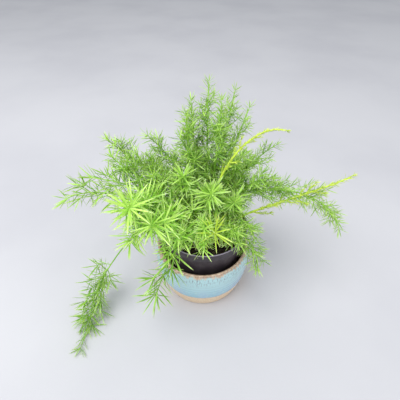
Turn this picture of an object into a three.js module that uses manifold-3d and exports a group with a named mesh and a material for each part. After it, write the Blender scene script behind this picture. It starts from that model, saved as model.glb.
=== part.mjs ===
// Potted sprengeri fern: arching leafy stems in a nursery pot that stands in a glazed stoneware cover pot.
// Millimetres, +Z up. The origin is the centre of the cover pot's foot, on the surface it stands on.
// The plant's front, where two stems trail over the rim, faces -Y.

import * as THREE from "three";
import { mergeVertices } from "three/addons/utils/BufferGeometryUtils.js";
import Module from "manifold-3d";

const wasm = await Module();
wasm.setup();

// Cover pot
const COVER_RIM_RADIUS = 66;
const COVER_BELLY_RADIUS = 68.5;
const COVER_FOOT_RADIUS = 57;
const COVER_HEIGHT = 77;
const COVER_BELLY_Z = 59;
const COVER_WALL = 5;
const COVER_FLOOR = 8;
const COVER_BEVEL = 1.8;
const COVER_RINGS = [15, 30, 45, COVER_BELLY_Z];
const COVER_SIDES = 36;

// Nursery pot, standing a little off centre on the cover pot's floor
const NURSERY_OFFSET = 2.5;
const NURSERY_RIM_RADIUS = 60;
const NURSERY_SHOULDER_RADIUS = 56.5;
const NURSERY_BASE_RADIUS = 46;
const NURSERY_HEIGHT = 104;
const NURSERY_LIP = 11;
const NURSERY_WALL = 1.5;
const NURSERY_LIP_ROUND = 1;
const NURSERY_SIDES = 28;
const DRAIN_HOLES = 6;
const DRAIN_HOLE_RADIUS = 4;
const DRAIN_RING_RADIUS = 32;

// Potting soil
const REST_GAP = 0.3;
const SOIL_BELOW_RIM = 12;
const SOIL_MOUND = 3;
const SOIL_LUMP = 1.1;
const SOIL_WAVE = 0.29;

// Stems, twigs and needles
const STEM_RADIUS = [1.7, 1.1];
const TWIG_RADIUS = [0.9, 0.75];
const NEEDLE_RADIUS = 0.44;
const ROD_SIDES = 4;
const STEM_STEPS = 9;
const ROOT_DEPTH = 14;
const LAST_TWIG = 0.9;
const TWIG_TAPER = 0.45;
const TWIG_KNEE = 0.55;
const TWIG_TURN = 0.18;
const TWIG_BARE = 0.15;
const GOLDEN_ANGLE = THREE.MathUtils.degToRad(137.5);
const TWIG_ANGLE = THREE.MathUtils.degToRad(50);
const NEEDLE_ANGLE = THREE.MathUtils.degToRad(55);
const STEM_NEEDLE_SPACING = 24;
const TWIG_NEEDLE_SPACING = 5.5;
const SIZE_SPREAD = 0.16;
const CLEARANCE = 0.5;
const TEST_SHARES = [0.35, 0.7, 1];
const PURPOSE = { twigLength: 1, twigRoll: 2, needleRoll: 3, needleLength: 4 };
const ROLL_TRIES = [0, 25, -25, 50, -50, 80, -80, 110, -110, 145, -145, 180].map(THREE.MathUtils.degToRad);

const NURSERY_BASE_Z = COVER_FLOOR + REST_GAP;
const NURSERY_RIM_Z = NURSERY_BASE_Z + NURSERY_HEIGHT;
const SOIL_Z = NURSERY_RIM_Z - SOIL_BELOW_RIM;

const LEAF_GREEN = 0x6fae2e;
const BRIGHT_GREEN = 0x9bd04a;
const YOUNG_YELLOW = 0xc3d63a;

// Each stem rises out of the soil at root, is pulled over by its arch handle, or led via points, to its tip.
// bare is the share of its length below the first twig, twig the longest twig and needle the needles' length.
const STEMS = [
  {
    name: "stem_back_tall", root: [6, 16], rise: 80, arch: [4, 52, 236], tip: [7, 70, 284],
    bare: 0.2, twigs: 7, twig: 36, needle: 15,
  },
  {
    name: "stem_back_left_tall", root: [-4, 20], rise: 75, arch: [-14, 52, 216], tip: [-15, 63, 264],
    bare: 0.22, twigs: 6, twig: 34, needle: 15,
  },
  {
    name: "stem_back_right_tall", root: [15, 20], rise: 75, arch: [31, 64, 226], tip: [40, 74, 272],
    bare: 0.22, twigs: 6, twig: 34, needle: 15,
  },
  {
    name: "stem_upright", root: [-6, 6], rise: 70, arch: [-21, 24, 212], tip: [-20, 34, 258],
    bare: 0.22, twigs: 6, twig: 26, needle: 18,
  },
  {
    name: "stem_inner_tall", root: [12, 8], rise: 70, arch: [18, 34, 226], tip: [22, 44, 272],
    bare: 0.25, twigs: 5, twig: 30, needle: 15,
  },
  {
    name: "stem_left_back_far", root: [-14, 14], rise: 70, arch: [-96, 31, 195], tip: [-119, 35, 224],
    bare: 0.35, twigs: 6, twig: 36, needle: 16,
  },
  {
    name: "stem_left_back_near", root: [-11, 24], rise: 75, arch: [-56, 56, 199], tip: [-71, 49, 222],
    bare: 0.3, twigs: 5, twig: 32, needle: 16,
  },
  {
    name: "stem_left_back_mid", root: [-20, 8], rise: 60, arch: [-85, 3, 185], tip: [-109, 5, 218],
    bare: 0.35, twigs: 5, twig: 34, needle: 18,
  },
  {
    name: "stem_left_upper", root: [-24, 2], rise: 60, arch: [-102, -14, 198], tip: [-130, -15, 202],
    bare: 0.4, twigs: 5, twig: 34, needle: 22,
  },
  {
    name: "stem_left_lower", root: [-28, -5], rise: 50, arch: [-128, -12, 197], tip: [-173, -8, 164],
    bare: 0.42, twigs: 6, twig: 36, needle: 22,
  },
  {
    name: "stem_rosette", root: [-16, -10], rise: 60, arch: [-88, -40, 176], tip: [-78, -70, 204],
    bare: 0.4, twigs: 5, twig: 26, needle: 27, bright: true,
  },
  {
    name: "stem_rosette_low", root: [-9, -18], rise: 50, arch: [-58, -52, 168], tip: [-55, -80, 188],
    bare: 0.38, twigs: 4, twig: 26, needle: 24, bright: true,
  },
  {
    name: "stem_left_shoulder", root: [-22, -14], rise: 64, arch: [-74, -49, 172], tip: [-87, -62, 145],
    bare: 0.38, twigs: 4, twig: 28, needle: 22, bright: true,
  },
  {
    name: "stem_trailing_long", root: [-28, -24], rise: 38, tip: [-162, -125, 3],
    via: [[-54, -30, 154], [-94, -37, 119], [-120, -43, 85], [-142, -53, 50], [-154, -74, 18]],
    bare: 0.6, twigs: 6, twig: 28, needle: 24,
  },
  {
    name: "stem_trailing_short", root: [-15, -28], rise: 62, arch: [-36, -90, 150], tip: [-58, -97, 86],
    bare: 0.55, twigs: 3, twig: 18, needle: 27,
  },
  {
    name: "stem_front_droop", root: [1, -24], rise: 55, arch: [0, -70, 169], tip: [0, -80, 149],
    bare: 0.35, twigs: 4, twig: 22, needle: 18, bright: true,
  },
  {
    name: "stem_star", root: [6, -16], rise: 26, arch: [14, -42, 138], tip: [13, -64, 160],
    bare: 0.4, twigs: 3, twig: 20, needle: 22, young: true,
  },
  {
    name: "stem_centre_star", root: [4, -5], rise: 42, arch: [10, -14, 176], tip: [9, -40, 198],
    bare: 0.32, twigs: 4, twig: 26, needle: 20,
  },
  {
    name: "stem_centre_right", root: [13, -4], rise: 40, arch: [34, -16, 164], tip: [36, -40, 184],
    bare: 0.32, twigs: 4, twig: 28, needle: 19,
  },
  {
    name: "stem_right_droop", root: [20, -22], rise: 62, arch: [69, -59, 145], tip: [70, -64, 91],
    bare: 0.35, twigs: 5, twig: 26, needle: 17,
  },
  {
    name: "stem_right_front", root: [20, -12], rise: 58, arch: [54, -44, 167], tip: [62, -54, 142],
    bare: 0.33, twigs: 5, twig: 28, needle: 17,
  },
  {
    name: "stem_right_back_low", root: [24, 12], rise: 62, arch: [76, 40, 205], tip: [96, 43, 212],
    bare: 0.3, twigs: 5, twig: 34, needle: 16,
  },
  {
    name: "stem_right_back_high", root: [22, 22], rise: 75, arch: [48, 52, 226], tip: [58, 60, 256],
    bare: 0.3, twigs: 4, twig: 28, needle: 14,
  },
  {
    name: "stem_right_middle", root: [26, 4], rise: 56, arch: [68, 9, 182], tip: [87, 9, 184],
    bare: 0.3, twigs: 5, twig: 32, needle: 17,
  },
  {
    name: "stem_young_arching", root: [8, 1], rise: 90, arch: [50, 14, 262], tip: [98, 20, 245],
    bare: 0.5, twigs: 4, twig: 16, needle: 9, young: true,
  },
  {
    name: "stem_young_right", root: [29, -4], rise: 30, arch: [122, -10, 164], tip: [181, -6, 198],
    bare: 0.35, twigs: 6, twig: 26, needle: 11, young: true,
  },
  {
    name: "stem_right_far", root: [31, 9], rise: 80, arch: [146, -3, 201], tip: [186, -12, 114],
    bare: 0.4, twigs: 7, twig: 32, needle: 17,
  },
  {
    name: "stem_right_outer", root: [30, 18], rise: 58, arch: [92, 22, 166], tip: [117, 20, 150],
    bare: 0.4, twigs: 5, twig: 28, needle: 16,
  },
  {
    name: "stem_inner_left", root: [-13, 1], rise: 42, arch: [-26, 1, 178], tip: [-24, -9, 200],
    bare: 0.32, twigs: 4, twig: 28, needle: 19,
  },
  {
    name: "stem_inner_right", root: [18, 3], rise: 45, arch: [42, 18, 192], tip: [48, 16, 212],
    bare: 0.32, twigs: 4, twig: 28, needle: 17,
  },
  {
    name: "stem_front_left", root: [-6, -30], rise: 40, arch: [-34, -66, 164], tip: [-40, -80, 146],
    bare: 0.33, twigs: 4, twig: 24, needle: 20, bright: true,
  },
  {
    name: "stem_front_right", root: [11, -29], rise: 40, arch: [38, -58, 162], tip: [42, -72, 152],
    bare: 0.33, twigs: 4, twig: 24, needle: 18,
  },
  {
    name: "stem_rear_low", root: [2, 31], rise: 55, arch: [-6, 92, 176], tip: [-14, 112, 156],
    bare: 0.3, twigs: 5, twig: 32, needle: 17,
  },
  {
    name: "stem_rear_right", root: [19, 30], rise: 50, arch: [62, 84, 172], tip: [78, 100, 150],
    bare: 0.3, twigs: 5, twig: 32, needle: 17,
  },
  {
    name: "stem_rear_left", root: [-18, 29], rise: 50, arch: [-66, 80, 168], tip: [-86, 96, 142],
    bare: 0.3, twigs: 5, twig: 32, needle: 17,
  },
];

// A repeatable value from 0 to 1 for a stem, a place on it and a purpose.
function chance(stem, place, purpose) {
  const x = Math.sin(stem * 12.9898 + place * 78.233 + purpose * 37.719) * 43758.5453;
  return x - Math.floor(x);
}

// A factor near 1 by which one twig's or needle's length differs from its stem's rule.
function varied(stem, place, purpose) {
  return 1 + SIZE_SPREAD * (2 * chance(stem, place, purpose) - 1);
}

function solidOf(geometry) {
  const bare = new THREE.BufferGeometry();
  bare.setAttribute("position", geometry.getAttribute("position"));
  bare.setIndex(geometry.index);
  const merged = mergeVertices(bare, 1e-4);
  return new wasm.Manifold(
    new wasm.Mesh({
      numProp: 3,
      vertProperties: new Float32Array(merged.getAttribute("position").array),
      triVerts: new Uint32Array(merged.index.array),
    }),
  );
}

function geometryOf(solid) {
  const { numProp, vertProperties, triVerts } = solid.getMesh();
  const positions = [];
  for (let i = 0; i < vertProperties.length; i += numProp) {
    positions.push(...vertProperties.subarray(i, i + 3));
  }
  const geometry = new THREE.BufferGeometry();
  geometry.setAttribute("position", new THREE.Float32BufferAttribute(positions, 3));
  geometry.setIndex([...triVerts]);
  geometry.computeVertexNormals();
  return geometry;
}

// A profile of [radius, height] points turned round the Z axis.
function turned(profile, sides) {
  const points = profile.map(([r, z]) => new THREE.Vector2(r, z));
  return new THREE.LatheGeometry(points, sides).rotateX(Math.PI / 2);
}

// The cover pot's outer radius: widest at the belly, drawn in towards the foot and a little at the rim.
function coverRadius(z) {
  const above = z > COVER_BELLY_Z;
  const edge = above ? COVER_RIM_RADIUS : COVER_FOOT_RADIUS;
  const reach = above ? COVER_HEIGHT - COVER_BELLY_Z : COVER_BELLY_Z;
  return THREE.MathUtils.lerp(COVER_BELLY_RADIUS, edge, ((z - COVER_BELLY_Z) / reach) ** 2);
}

function coverPot() {
  const profile = [
    [0, 0],
    [COVER_FOOT_RADIUS - COVER_BEVEL, 0],
  ];
  for (const z of [COVER_BEVEL, ...COVER_RINGS, COVER_HEIGHT - COVER_BEVEL]) {
    profile.push([coverRadius(z), z]);
  }
  const middle = COVER_RINGS[2];
  const corner = COVER_FOOT_RADIUS - COVER_WALL;
  profile.push(
    [COVER_RIM_RADIUS - COVER_BEVEL, COVER_HEIGHT],
    [COVER_RIM_RADIUS - COVER_WALL + COVER_BEVEL, COVER_HEIGHT],
    [COVER_RIM_RADIUS - COVER_WALL, COVER_HEIGHT - COVER_BEVEL],
    [coverRadius(middle) - COVER_WALL, middle],
    [corner, COVER_FLOOR + COVER_BEVEL],
    [corner - COVER_BEVEL, COVER_FLOOR],
    [0, COVER_FLOOR],
  );
  return turned(profile, COVER_SIDES);
}

// The nursery pot's wall radius below its lip, outside, at a height above its base.
function nurseryRadius(z) {
  return THREE.MathUtils.mapLinear(
    z, 0, NURSERY_HEIGHT - NURSERY_LIP, NURSERY_BASE_RADIUS, NURSERY_SHOULDER_RADIUS,
  );
}

function nurseryPot() {
  const shoulder = NURSERY_HEIGHT - NURSERY_LIP;
  const lip = NURSERY_RIM_RADIUS - NURSERY_LIP_ROUND;
  const shell = turned(
    [
      [0, 0],
      [NURSERY_BASE_RADIUS, 0],
      [NURSERY_SHOULDER_RADIUS, shoulder],
      [lip, shoulder + NURSERY_LIP_ROUND],
      [lip, NURSERY_HEIGHT - 2 * NURSERY_LIP_ROUND],
      [NURSERY_RIM_RADIUS, NURSERY_HEIGHT - NURSERY_LIP_ROUND],
      [lip, NURSERY_HEIGHT],
      [lip - NURSERY_WALL, NURSERY_HEIGHT],
      [lip - NURSERY_WALL, shoulder + NURSERY_WALL],
      [NURSERY_SHOULDER_RADIUS - NURSERY_WALL, shoulder],
      [NURSERY_BASE_RADIUS - NURSERY_WALL, NURSERY_WALL],
      [0, NURSERY_WALL],
    ],
    NURSERY_SIDES,
  );
  const holes = Array.from({ length: DRAIN_HOLES }, (_, i) => {
    const angle = (i / DRAIN_HOLES) * 2 * Math.PI;
    const hole = new THREE.CylinderGeometry(DRAIN_HOLE_RADIUS, DRAIN_HOLE_RADIUS, 6 * NURSERY_WALL, 10);
    hole.rotateX(Math.PI / 2);
    hole.translate(DRAIN_RING_RADIUS * Math.cos(angle), DRAIN_RING_RADIUS * Math.sin(angle), 0);
    return solidOf(hole);
  });
  return geometryOf(solidOf(shell).subtract(wasm.Manifold.union(holes)));
}

// Height of the soil's surface over the flat level, at a place in the nursery pot's own frame.
function soilRelief(x, y) {
  const r = Math.hypot(x, y);
  const mound = SOIL_MOUND * (1 - (r / NURSERY_SHOULDER_RADIUS) ** 2);
  return mound + SOIL_LUMP * Math.sin(x * SOIL_WAVE) * Math.cos(y * SOIL_WAVE);
}

function pottingSoil(stems) {
  const base = NURSERY_WALL + REST_GAP;
  const top = NURSERY_HEIGHT - SOIL_BELOW_RIM;
  const fit = NURSERY_WALL + REST_GAP;
  const topRadius = nurseryRadius(top) - fit;
  const rings = [1, 0.7, 0.4, 0].map((share) => [topRadius * share, top]);
  const body = turned([[0, base], [nurseryRadius(base) - fit, base], ...rings], NURSERY_SIDES);
  const place = body.getAttribute("position");
  for (let i = 0; i < place.count; i++) {
    if (place.getZ(i) > top - 1) {
      place.setZ(i, top + soilRelief(place.getX(i), place.getY(i)));
    }
  }
  const holes = stems.map(({ root }) => {
    const radius = (STEM_RADIUS[0] + REST_GAP) / Math.cos(Math.PI / 6);
    const hole = new THREE.CylinderGeometry(radius, radius, 2 * (ROOT_DEPTH + REST_GAP), 6);
    hole.rotateX(Math.PI / 2);
    hole.translate(root[0] - NURSERY_OFFSET, root[1], top);
    return solidOf(hole);
  });
  return geometryOf(solidOf(body).subtract(wasm.Manifold.union(holes)));
}

function pathThrough(points) {
  const path = new THREE.CurvePath();
  points.slice(1).forEach((end, i) => path.add(new THREE.LineCurve3(points[i], end)));
  return path;
}

function cornersOf(path) {
  return [path.curves[0].v1, ...path.curves.map((line) => line.v2)];
}

// A rod along a path of straight pieces, tapered up to the last piece, which runs out to a point.
function rod(path, [startRadius, endRadius]) {
  const corners = cornersOf(path);
  const steps = corners.length - 1;
  const frames = new THREE.CatmullRomCurve3(corners).computeFrenetFrames(steps, false);
  const geometry = new THREE.ConeGeometry(1, 1, ROD_SIDES, steps);
  const place = geometry.getAttribute("position");
  for (let i = 0; i < place.count; i++) {
    const step = Math.round((place.getY(i) + 0.5) * steps);
    const outward = new THREE.Vector2(place.getX(i), -place.getZ(i)).normalize();
    const radius = step < steps ? THREE.MathUtils.lerp(startRadius, endRadius, step / (steps - 1)) : 0;
    const point = corners[step].clone();
    point.addScaledVector(frames.normals[step], outward.x * radius);
    point.addScaledVector(frames.binormals[step], outward.y * radius);
    place.setXYZ(i, point.x, point.y, point.z);
  }
  return solidOf(geometry);
}

function needleSolid({ start, end }) {
  const along = new THREE.Vector3().subVectors(end, start);
  const cone = new THREE.ConeGeometry(NEEDLE_RADIUS, along.length(), 3);
  cone.translate(0, along.length() / 2, 0);
  const turn = new THREE.Quaternion().setFromUnitVectors(THREE.Object3D.DEFAULT_UP, along.normalize());
  cone.applyQuaternion(turn).translate(start.x, start.y, start.z);
  return solidOf(cone);
}

// The direction at an angle to a stem's own, turned round it by a roll; a roll of zero is level.
function leaning(tangent, angle, roll) {
  const side = new THREE.Vector3().crossVectors(tangent, new THREE.Vector3(0, 0, 1));
  if (side.length() < 0.1) side.set(1, 0, 0).addScaledVector(tangent, -tangent.x);
  side.normalize();
  const across = new THREE.Vector3().crossVectors(side, tangent);
  return new THREE.Vector3()
    .addScaledVector(tangent, Math.cos(angle))
    .addScaledVector(side, Math.sin(angle) * Math.cos(roll))
    .addScaledVector(across, Math.sin(angle) * Math.sin(roll));
}

function stemPath({ root, rise, arch, via, tip }) {
  const soil = new THREE.Vector3(root[0], root[1], SOIL_Z);
  const bottom = soil.clone().setZ(SOIL_Z - ROOT_DEPTH);
  const collar = soil.clone().setZ(SOIL_Z + SOIL_MOUND + 2);
  const lift = soil.clone().setZ(SOIL_Z + rise);
  const [end, ...onTheWay] = [tip, ...(via ?? [arch])].map((place) => new THREE.Vector3(...place));
  const curve = via
    ? new THREE.CatmullRomCurve3([collar, lift, ...onTheWay, end])
    : new THREE.CubicBezierCurve3(collar, lift, ...onTheWay, end);
  return pathThrough([bottom, ...curve.getSpacedPoints(STEM_STEPS)]);
}

// A twig leaves its stem at TWIG_ANGLE, turns a little the stem's own way and runs out to a point.
function twigPath(from, tangent, roll, length) {
  const out = leaning(tangent, TWIG_ANGLE, roll);
  const knee = from.clone().addScaledVector(out, length * TWIG_KNEE);
  const end = from.clone().addScaledVector(out, length * (1 - TWIG_TURN));
  end.addScaledVector(tangent, length * TWIG_TURN);
  return pathThrough([from, knee, end]);
}

// Whether a point keeps clear of the pots, the soil and the surface that the pot stands on.
function inTheOpen(p, margin) {
  const fromNursery = Math.hypot(p.x - NURSERY_OFFSET, p.y);
  if (p.z < margin) return false;
  if (p.z < COVER_HEIGHT + margin && Math.hypot(p.x, p.y) < COVER_BELLY_RADIUS + margin) return false;
  if (p.z > NURSERY_RIM_Z + margin) return true;
  const overSoil = p.z > SOIL_Z + SOIL_MOUND + SOIL_LUMP + margin;
  if (overSoil && fromNursery < NURSERY_SHOULDER_RADIUS - NURSERY_WALL - margin) return true;
  return fromNursery > NURSERY_RIM_RADIUS + margin;
}

// A stick is a straight piece of a stem, a twig or a needle, with its thickest radius.
function sticksOf(path, radius) {
  return path.curves.map(({ v1, v2 }) => ({ start: v1, end: v2, radius }));
}

function apart(a, b) {
  const gap = new THREE.Line3(a.start, a.end).distanceSqToLine3(new THREE.Line3(b.start, b.end));
  return Math.sqrt(gap) - a.radius - b.radius;
}

function isOpen({ start, end, radius }) {
  const test = new THREE.Vector3();
  return TEST_SHARES.every((share) => inTheOpen(test.lerpVectors(start, end, share), radius + 1));
}

// Whether sticks meant for one plant keep clear of the pots, the soil and every other plant's sticks.
function isFree(sticks, plant, plants) {
  const open = sticks.every(isOpen);
  return open && plants.every((other) =>
    other === plant || sticks.every((a) => other.sticks.every((b) => apart(a, b) > CLEARANCE)),
  );
}

// Tries a shape at one roll after another, and gives the first whose sticks are free.
function firstFree(make, roll, plant, plants) {
  for (const turn of ROLL_TRIES) {
    const made = make(roll + turn);
    if (isFree(made.sticks, plant, plants)) return made;
  }
  return null;
}

function growTwigs(plant, n, plants) {
  const { bare, twigs, twig } = plant.stem;
  for (let i = 0; i < twigs; i++) {
    const share = i / twigs;
    const at = bare + (LAST_TWIG - bare) * share;
    const from = plant.path.getPointAt(at);
    const tangent = plant.path.getTangentAt(at);
    const length = twig * (1 - TWIG_TAPER * share) * varied(n, i, PURPOSE.twigLength);
    const make = (turn) => {
      const path = twigPath(from, tangent, turn, length);
      return { path, sticks: sticksOf(path, TWIG_RADIUS[0]) };
    };
    const roll = i * GOLDEN_ANGLE + 2 * Math.PI * chance(n, 0, PURPOSE.twigRoll);
    const grown = firstFree(make, roll, plant, plants);
    if (!grown) continue;
    plant.twigs.push(grown.path);
    plant.sticks.push(...grown.sticks);
  }
}

// Needles along a path, from a share of its length up to the start of its pointed last piece.
function growNeedles(path, first, spacing, plant, n, plants) {
  const length = path.getLength();
  const last = 1 - path.curves.at(-1).getLength() / length;
  const count = Math.max(1, Math.round(((last - first) * length) / spacing));
  for (let i = 0; i < count; i++) {
    const at = first + (last - first) * ((i + 0.9) / count);
    const place = plant.needles.length;
    const size = plant.stem.needle * varied(n, place, PURPOSE.needleLength);
    const start = path.getPointAt(at);
    const tangent = path.getTangentAt(at);
    const make = (turn) => {
      const end = start.clone().addScaledVector(leaning(tangent, NEEDLE_ANGLE, turn), size);
      return { sticks: [{ start, end, radius: NEEDLE_RADIUS }] };
    };
    const roll = i * GOLDEN_ANGLE + 2 * Math.PI * chance(n, place, PURPOSE.needleRoll);
    const grown = firstFree(make, roll, plant, plants);
    if (!grown) continue;
    plant.needles.push(grown.sticks[0]);
    plant.sticks.push(grown.sticks[0]);
  }
}

function foliage(plant) {
  const solids = [rod(plant.path, STEM_RADIUS)];
  for (const twig of plant.twigs) solids.push(rod(twig, TWIG_RADIUS));
  for (const needle of plant.needles) solids.push(needleSolid(needle));
  return geometryOf(wasm.Manifold.union(solids));
}

function finish(color, roughness) {
  return new THREE.MeshStandardMaterial({ color, roughness, metalness: 0 });
}

function named(name, geometry, material) {
  const mesh = new THREE.Mesh(geometry, material);
  mesh.name = name;
  return mesh;
}

const plants = STEMS.map((stem) => {
  const path = stemPath(stem);
  return { stem, path, sticks: sticksOf(path, STEM_RADIUS[0]), twigs: [], needles: [] };
});
plants.forEach((plant, n) => growTwigs(plant, n, plants));
plants.forEach((plant, n) => {
  growNeedles(plant.path, plant.stem.bare, STEM_NEEDLE_SPACING, plant, n, plants);
  for (const twig of plant.twigs) growNeedles(twig, TWIG_BARE, TWIG_NEEDLE_SPACING, plant, n, plants);
});

const pot = new THREE.Group();
pot.add(named("cover_pot", coverPot(), finish(0x9cc8d2, 0.25)));

const planted = new THREE.Group();
planted.position.set(NURSERY_OFFSET, 0, NURSERY_BASE_Z);
planted.add(named("nursery_pot", nurseryPot(), finish(0x2c2b30, 0.5)));
planted.add(named("potting_soil", pottingSoil(STEMS), finish(0x2a1f17, 0.95)));
pot.add(planted);

for (const plant of plants) {
  const { name, bright, young } = plant.stem;
  const color = young ? YOUNG_YELLOW : bright ? BRIGHT_GREEN : LEAF_GREEN;
  pot.add(named(name, foliage(plant), finish(color, 0.5)));
}

export default pot;
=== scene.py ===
"""Potted sprengeri fern: leafy stems in potting soil, a nursery pot and the glazed stoneware pot round it."""

import itertools
import math

import bpy
import numpy as np
from bpy.props import FloatProperty, FloatVectorProperty, IntProperty, PointerProperty
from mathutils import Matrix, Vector, noise


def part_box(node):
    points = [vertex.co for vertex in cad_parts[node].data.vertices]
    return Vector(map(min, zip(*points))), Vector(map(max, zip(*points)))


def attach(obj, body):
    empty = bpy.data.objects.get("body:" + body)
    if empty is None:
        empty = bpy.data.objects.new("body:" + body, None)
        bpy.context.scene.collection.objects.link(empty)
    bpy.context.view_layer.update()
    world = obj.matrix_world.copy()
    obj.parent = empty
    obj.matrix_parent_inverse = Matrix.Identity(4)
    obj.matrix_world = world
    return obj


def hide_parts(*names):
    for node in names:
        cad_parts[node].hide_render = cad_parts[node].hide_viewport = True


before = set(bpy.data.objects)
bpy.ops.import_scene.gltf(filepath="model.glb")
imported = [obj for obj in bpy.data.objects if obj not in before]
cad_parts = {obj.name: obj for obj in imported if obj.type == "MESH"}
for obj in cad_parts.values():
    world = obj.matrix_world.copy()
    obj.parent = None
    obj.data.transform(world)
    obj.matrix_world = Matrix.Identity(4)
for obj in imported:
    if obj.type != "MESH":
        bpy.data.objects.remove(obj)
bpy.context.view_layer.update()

bl_info = {
    "name": "Potted Sprengeri Fern",
    "version": (1, 0, 0),
    "blender": (4, 5, 0),
    "location": "View3D > Sidebar > Fern",
    "description": "Dresses a potted sprengeri fern: leafy stems, soil and two pots",
    "category": "Object",
}

MM = 0.001

# Sizes that the solids give, in millimetres
COVER_LOW, COVER_HIGH = [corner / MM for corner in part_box("cover_pot")]
NURSERY_LOW, NURSERY_HIGH = [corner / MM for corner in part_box("nursery_pot")]
COVER_BELLY_RADIUS = (COVER_HIGH.y - COVER_LOW.y) / 2
COVER_HEIGHT = COVER_HIGH.z
NURSERY_OFFSET = (NURSERY_HIGH.x + NURSERY_LOW.x) / 2
NURSERY_RIM_RADIUS = (NURSERY_HIGH.x - NURSERY_LOW.x) / 2
NURSERY_BASE_Z = NURSERY_LOW.z
NURSERY_RIM_Z = NURSERY_HIGH.z

# Sizes of the pots that the boxes don't give, in millimetres; rows, sides and holes are counts
COVER_RIM_RADIUS = 66
COVER_FOOT_RADIUS = 57
COVER_BELLY_Z = 59
COVER_WALL = 5
COVER_FLOOR = 8
COVER_LIP_ROUND = 2.6
COVER_LIP_DEPTH = 3
COVER_FOOT_ROUND = 1.8
COVER_FOOT_EDGE = 2.2
COVER_FOOT_HOLLOW = 0.9
COVER_FOOT_RING = 11
COVER_FOOT_PLAIN = 3
COVER_FINE_Z = 20
COVER_ROWS = (40, 44)
COVER_INNER_ROWS = 24
COVER_LIP_ROWS = 14
GLAZE_WAVE = 1.1
GLAZE_STEP = 1.2
GLAZE_INSET = 0.2
GLAZE_THINS = 6
THROWING_RINGS = 0.12
THROWING_FROM = 8
NURSERY_SHOULDER_RADIUS = 56.5
NURSERY_BASE_RADIUS = 46
NURSERY_LIP = 11
NURSERY_WALL = 1.5
DRAIN_HOLES = 6
DRAIN_HOLE_RADIUS = 4
DRAIN_RING_RADIUS = 32
DRAIN_PIN_SIDES = 24

# Sizes of the soil and its crumbs, in millimetres; a crumb's shape and spread are shares of its size
SOIL_BELOW_RIM = 12
SOIL_Z = NURSERY_RIM_Z - SOIL_BELOW_RIM
SOIL_MOUND = 3
SOIL_LUMP = 1.1
SOIL_SIDES = 144
SOIL_RINGS = 46
SOIL_SEED = 7
REST_GAP = 0.3
CRUMB_MOST = 5
CRUMB_LIFT = 0.2
CRUMB_SHAPE = ((0.7, 1.8), (0.6, 1.1), (0.35, 0.8))
CRUMB_UNEVEN = (0.75, 1.2)
CRUMB_SPREAD = 0.35

# Where the lip's arc starts, in radians, and waves in radians a millimetre
COVER_LIP_START = 0.15
THROWING_PITCH = 1.15
SOIL_WAVE = 0.29

# Places on the stage in metres, and the camera's sensor in millimetres
KEY_WIDTH = 1.5
KEY_PLACE = (-0.7, -0.5, 1.9)
FILL_WIDTH = 1.8
FILL_PLACE = (1.4, -0.9, 1.3)
LAMPS_AIM = (0, 0, 0.12)
SKY_COLOUR = (0.93, 0.96, 1.0, 1)
SENSOR_WIDTH = 36
CAMERA_PLACE = (-0.0038, -0.318, 0.429)
CAMERA_TILT = math.radians(49.22)

# How stems and twigs grow: lengths in millimetres, angles in radians, and shares of a stem or twig
STEM_RADIUS = (1.7, 1.1)
TWIG_RADIUS = 0.9
STEM_STEPS = 9
ARC_STEPS = 200
ROOT_DEPTH = 14
COLLAR_LIFT = 2
LAST_TWIG = 0.9
TWIG_TAPER = 0.45
TWIG_KNEE = 0.55
TWIG_TURN = 0.18
GOLDEN_ANGLE = math.radians(137.5)
TWIG_ANGLE = math.radians(50)
SIZE_SPREAD = 0.16
CLEARANCE = 0.5
TWIG_AIR = 1
TEST_SHARES = (0.35, 0.7, 1)
ROLL_TRIES = [math.radians(turn) for turn in (0, 25, -25, 50, -50, 80, -80, 110, -110, 145, -145, 180)]
TWIG_LENGTH_DRAW = 1
TWIG_ROLL_DRAW = 2
HASH_STEM, HASH_PLACE, HASH_PURPOSE = 12.9898, 78.233, 37.719
HASH_SCALE = 43758.5453

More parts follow.
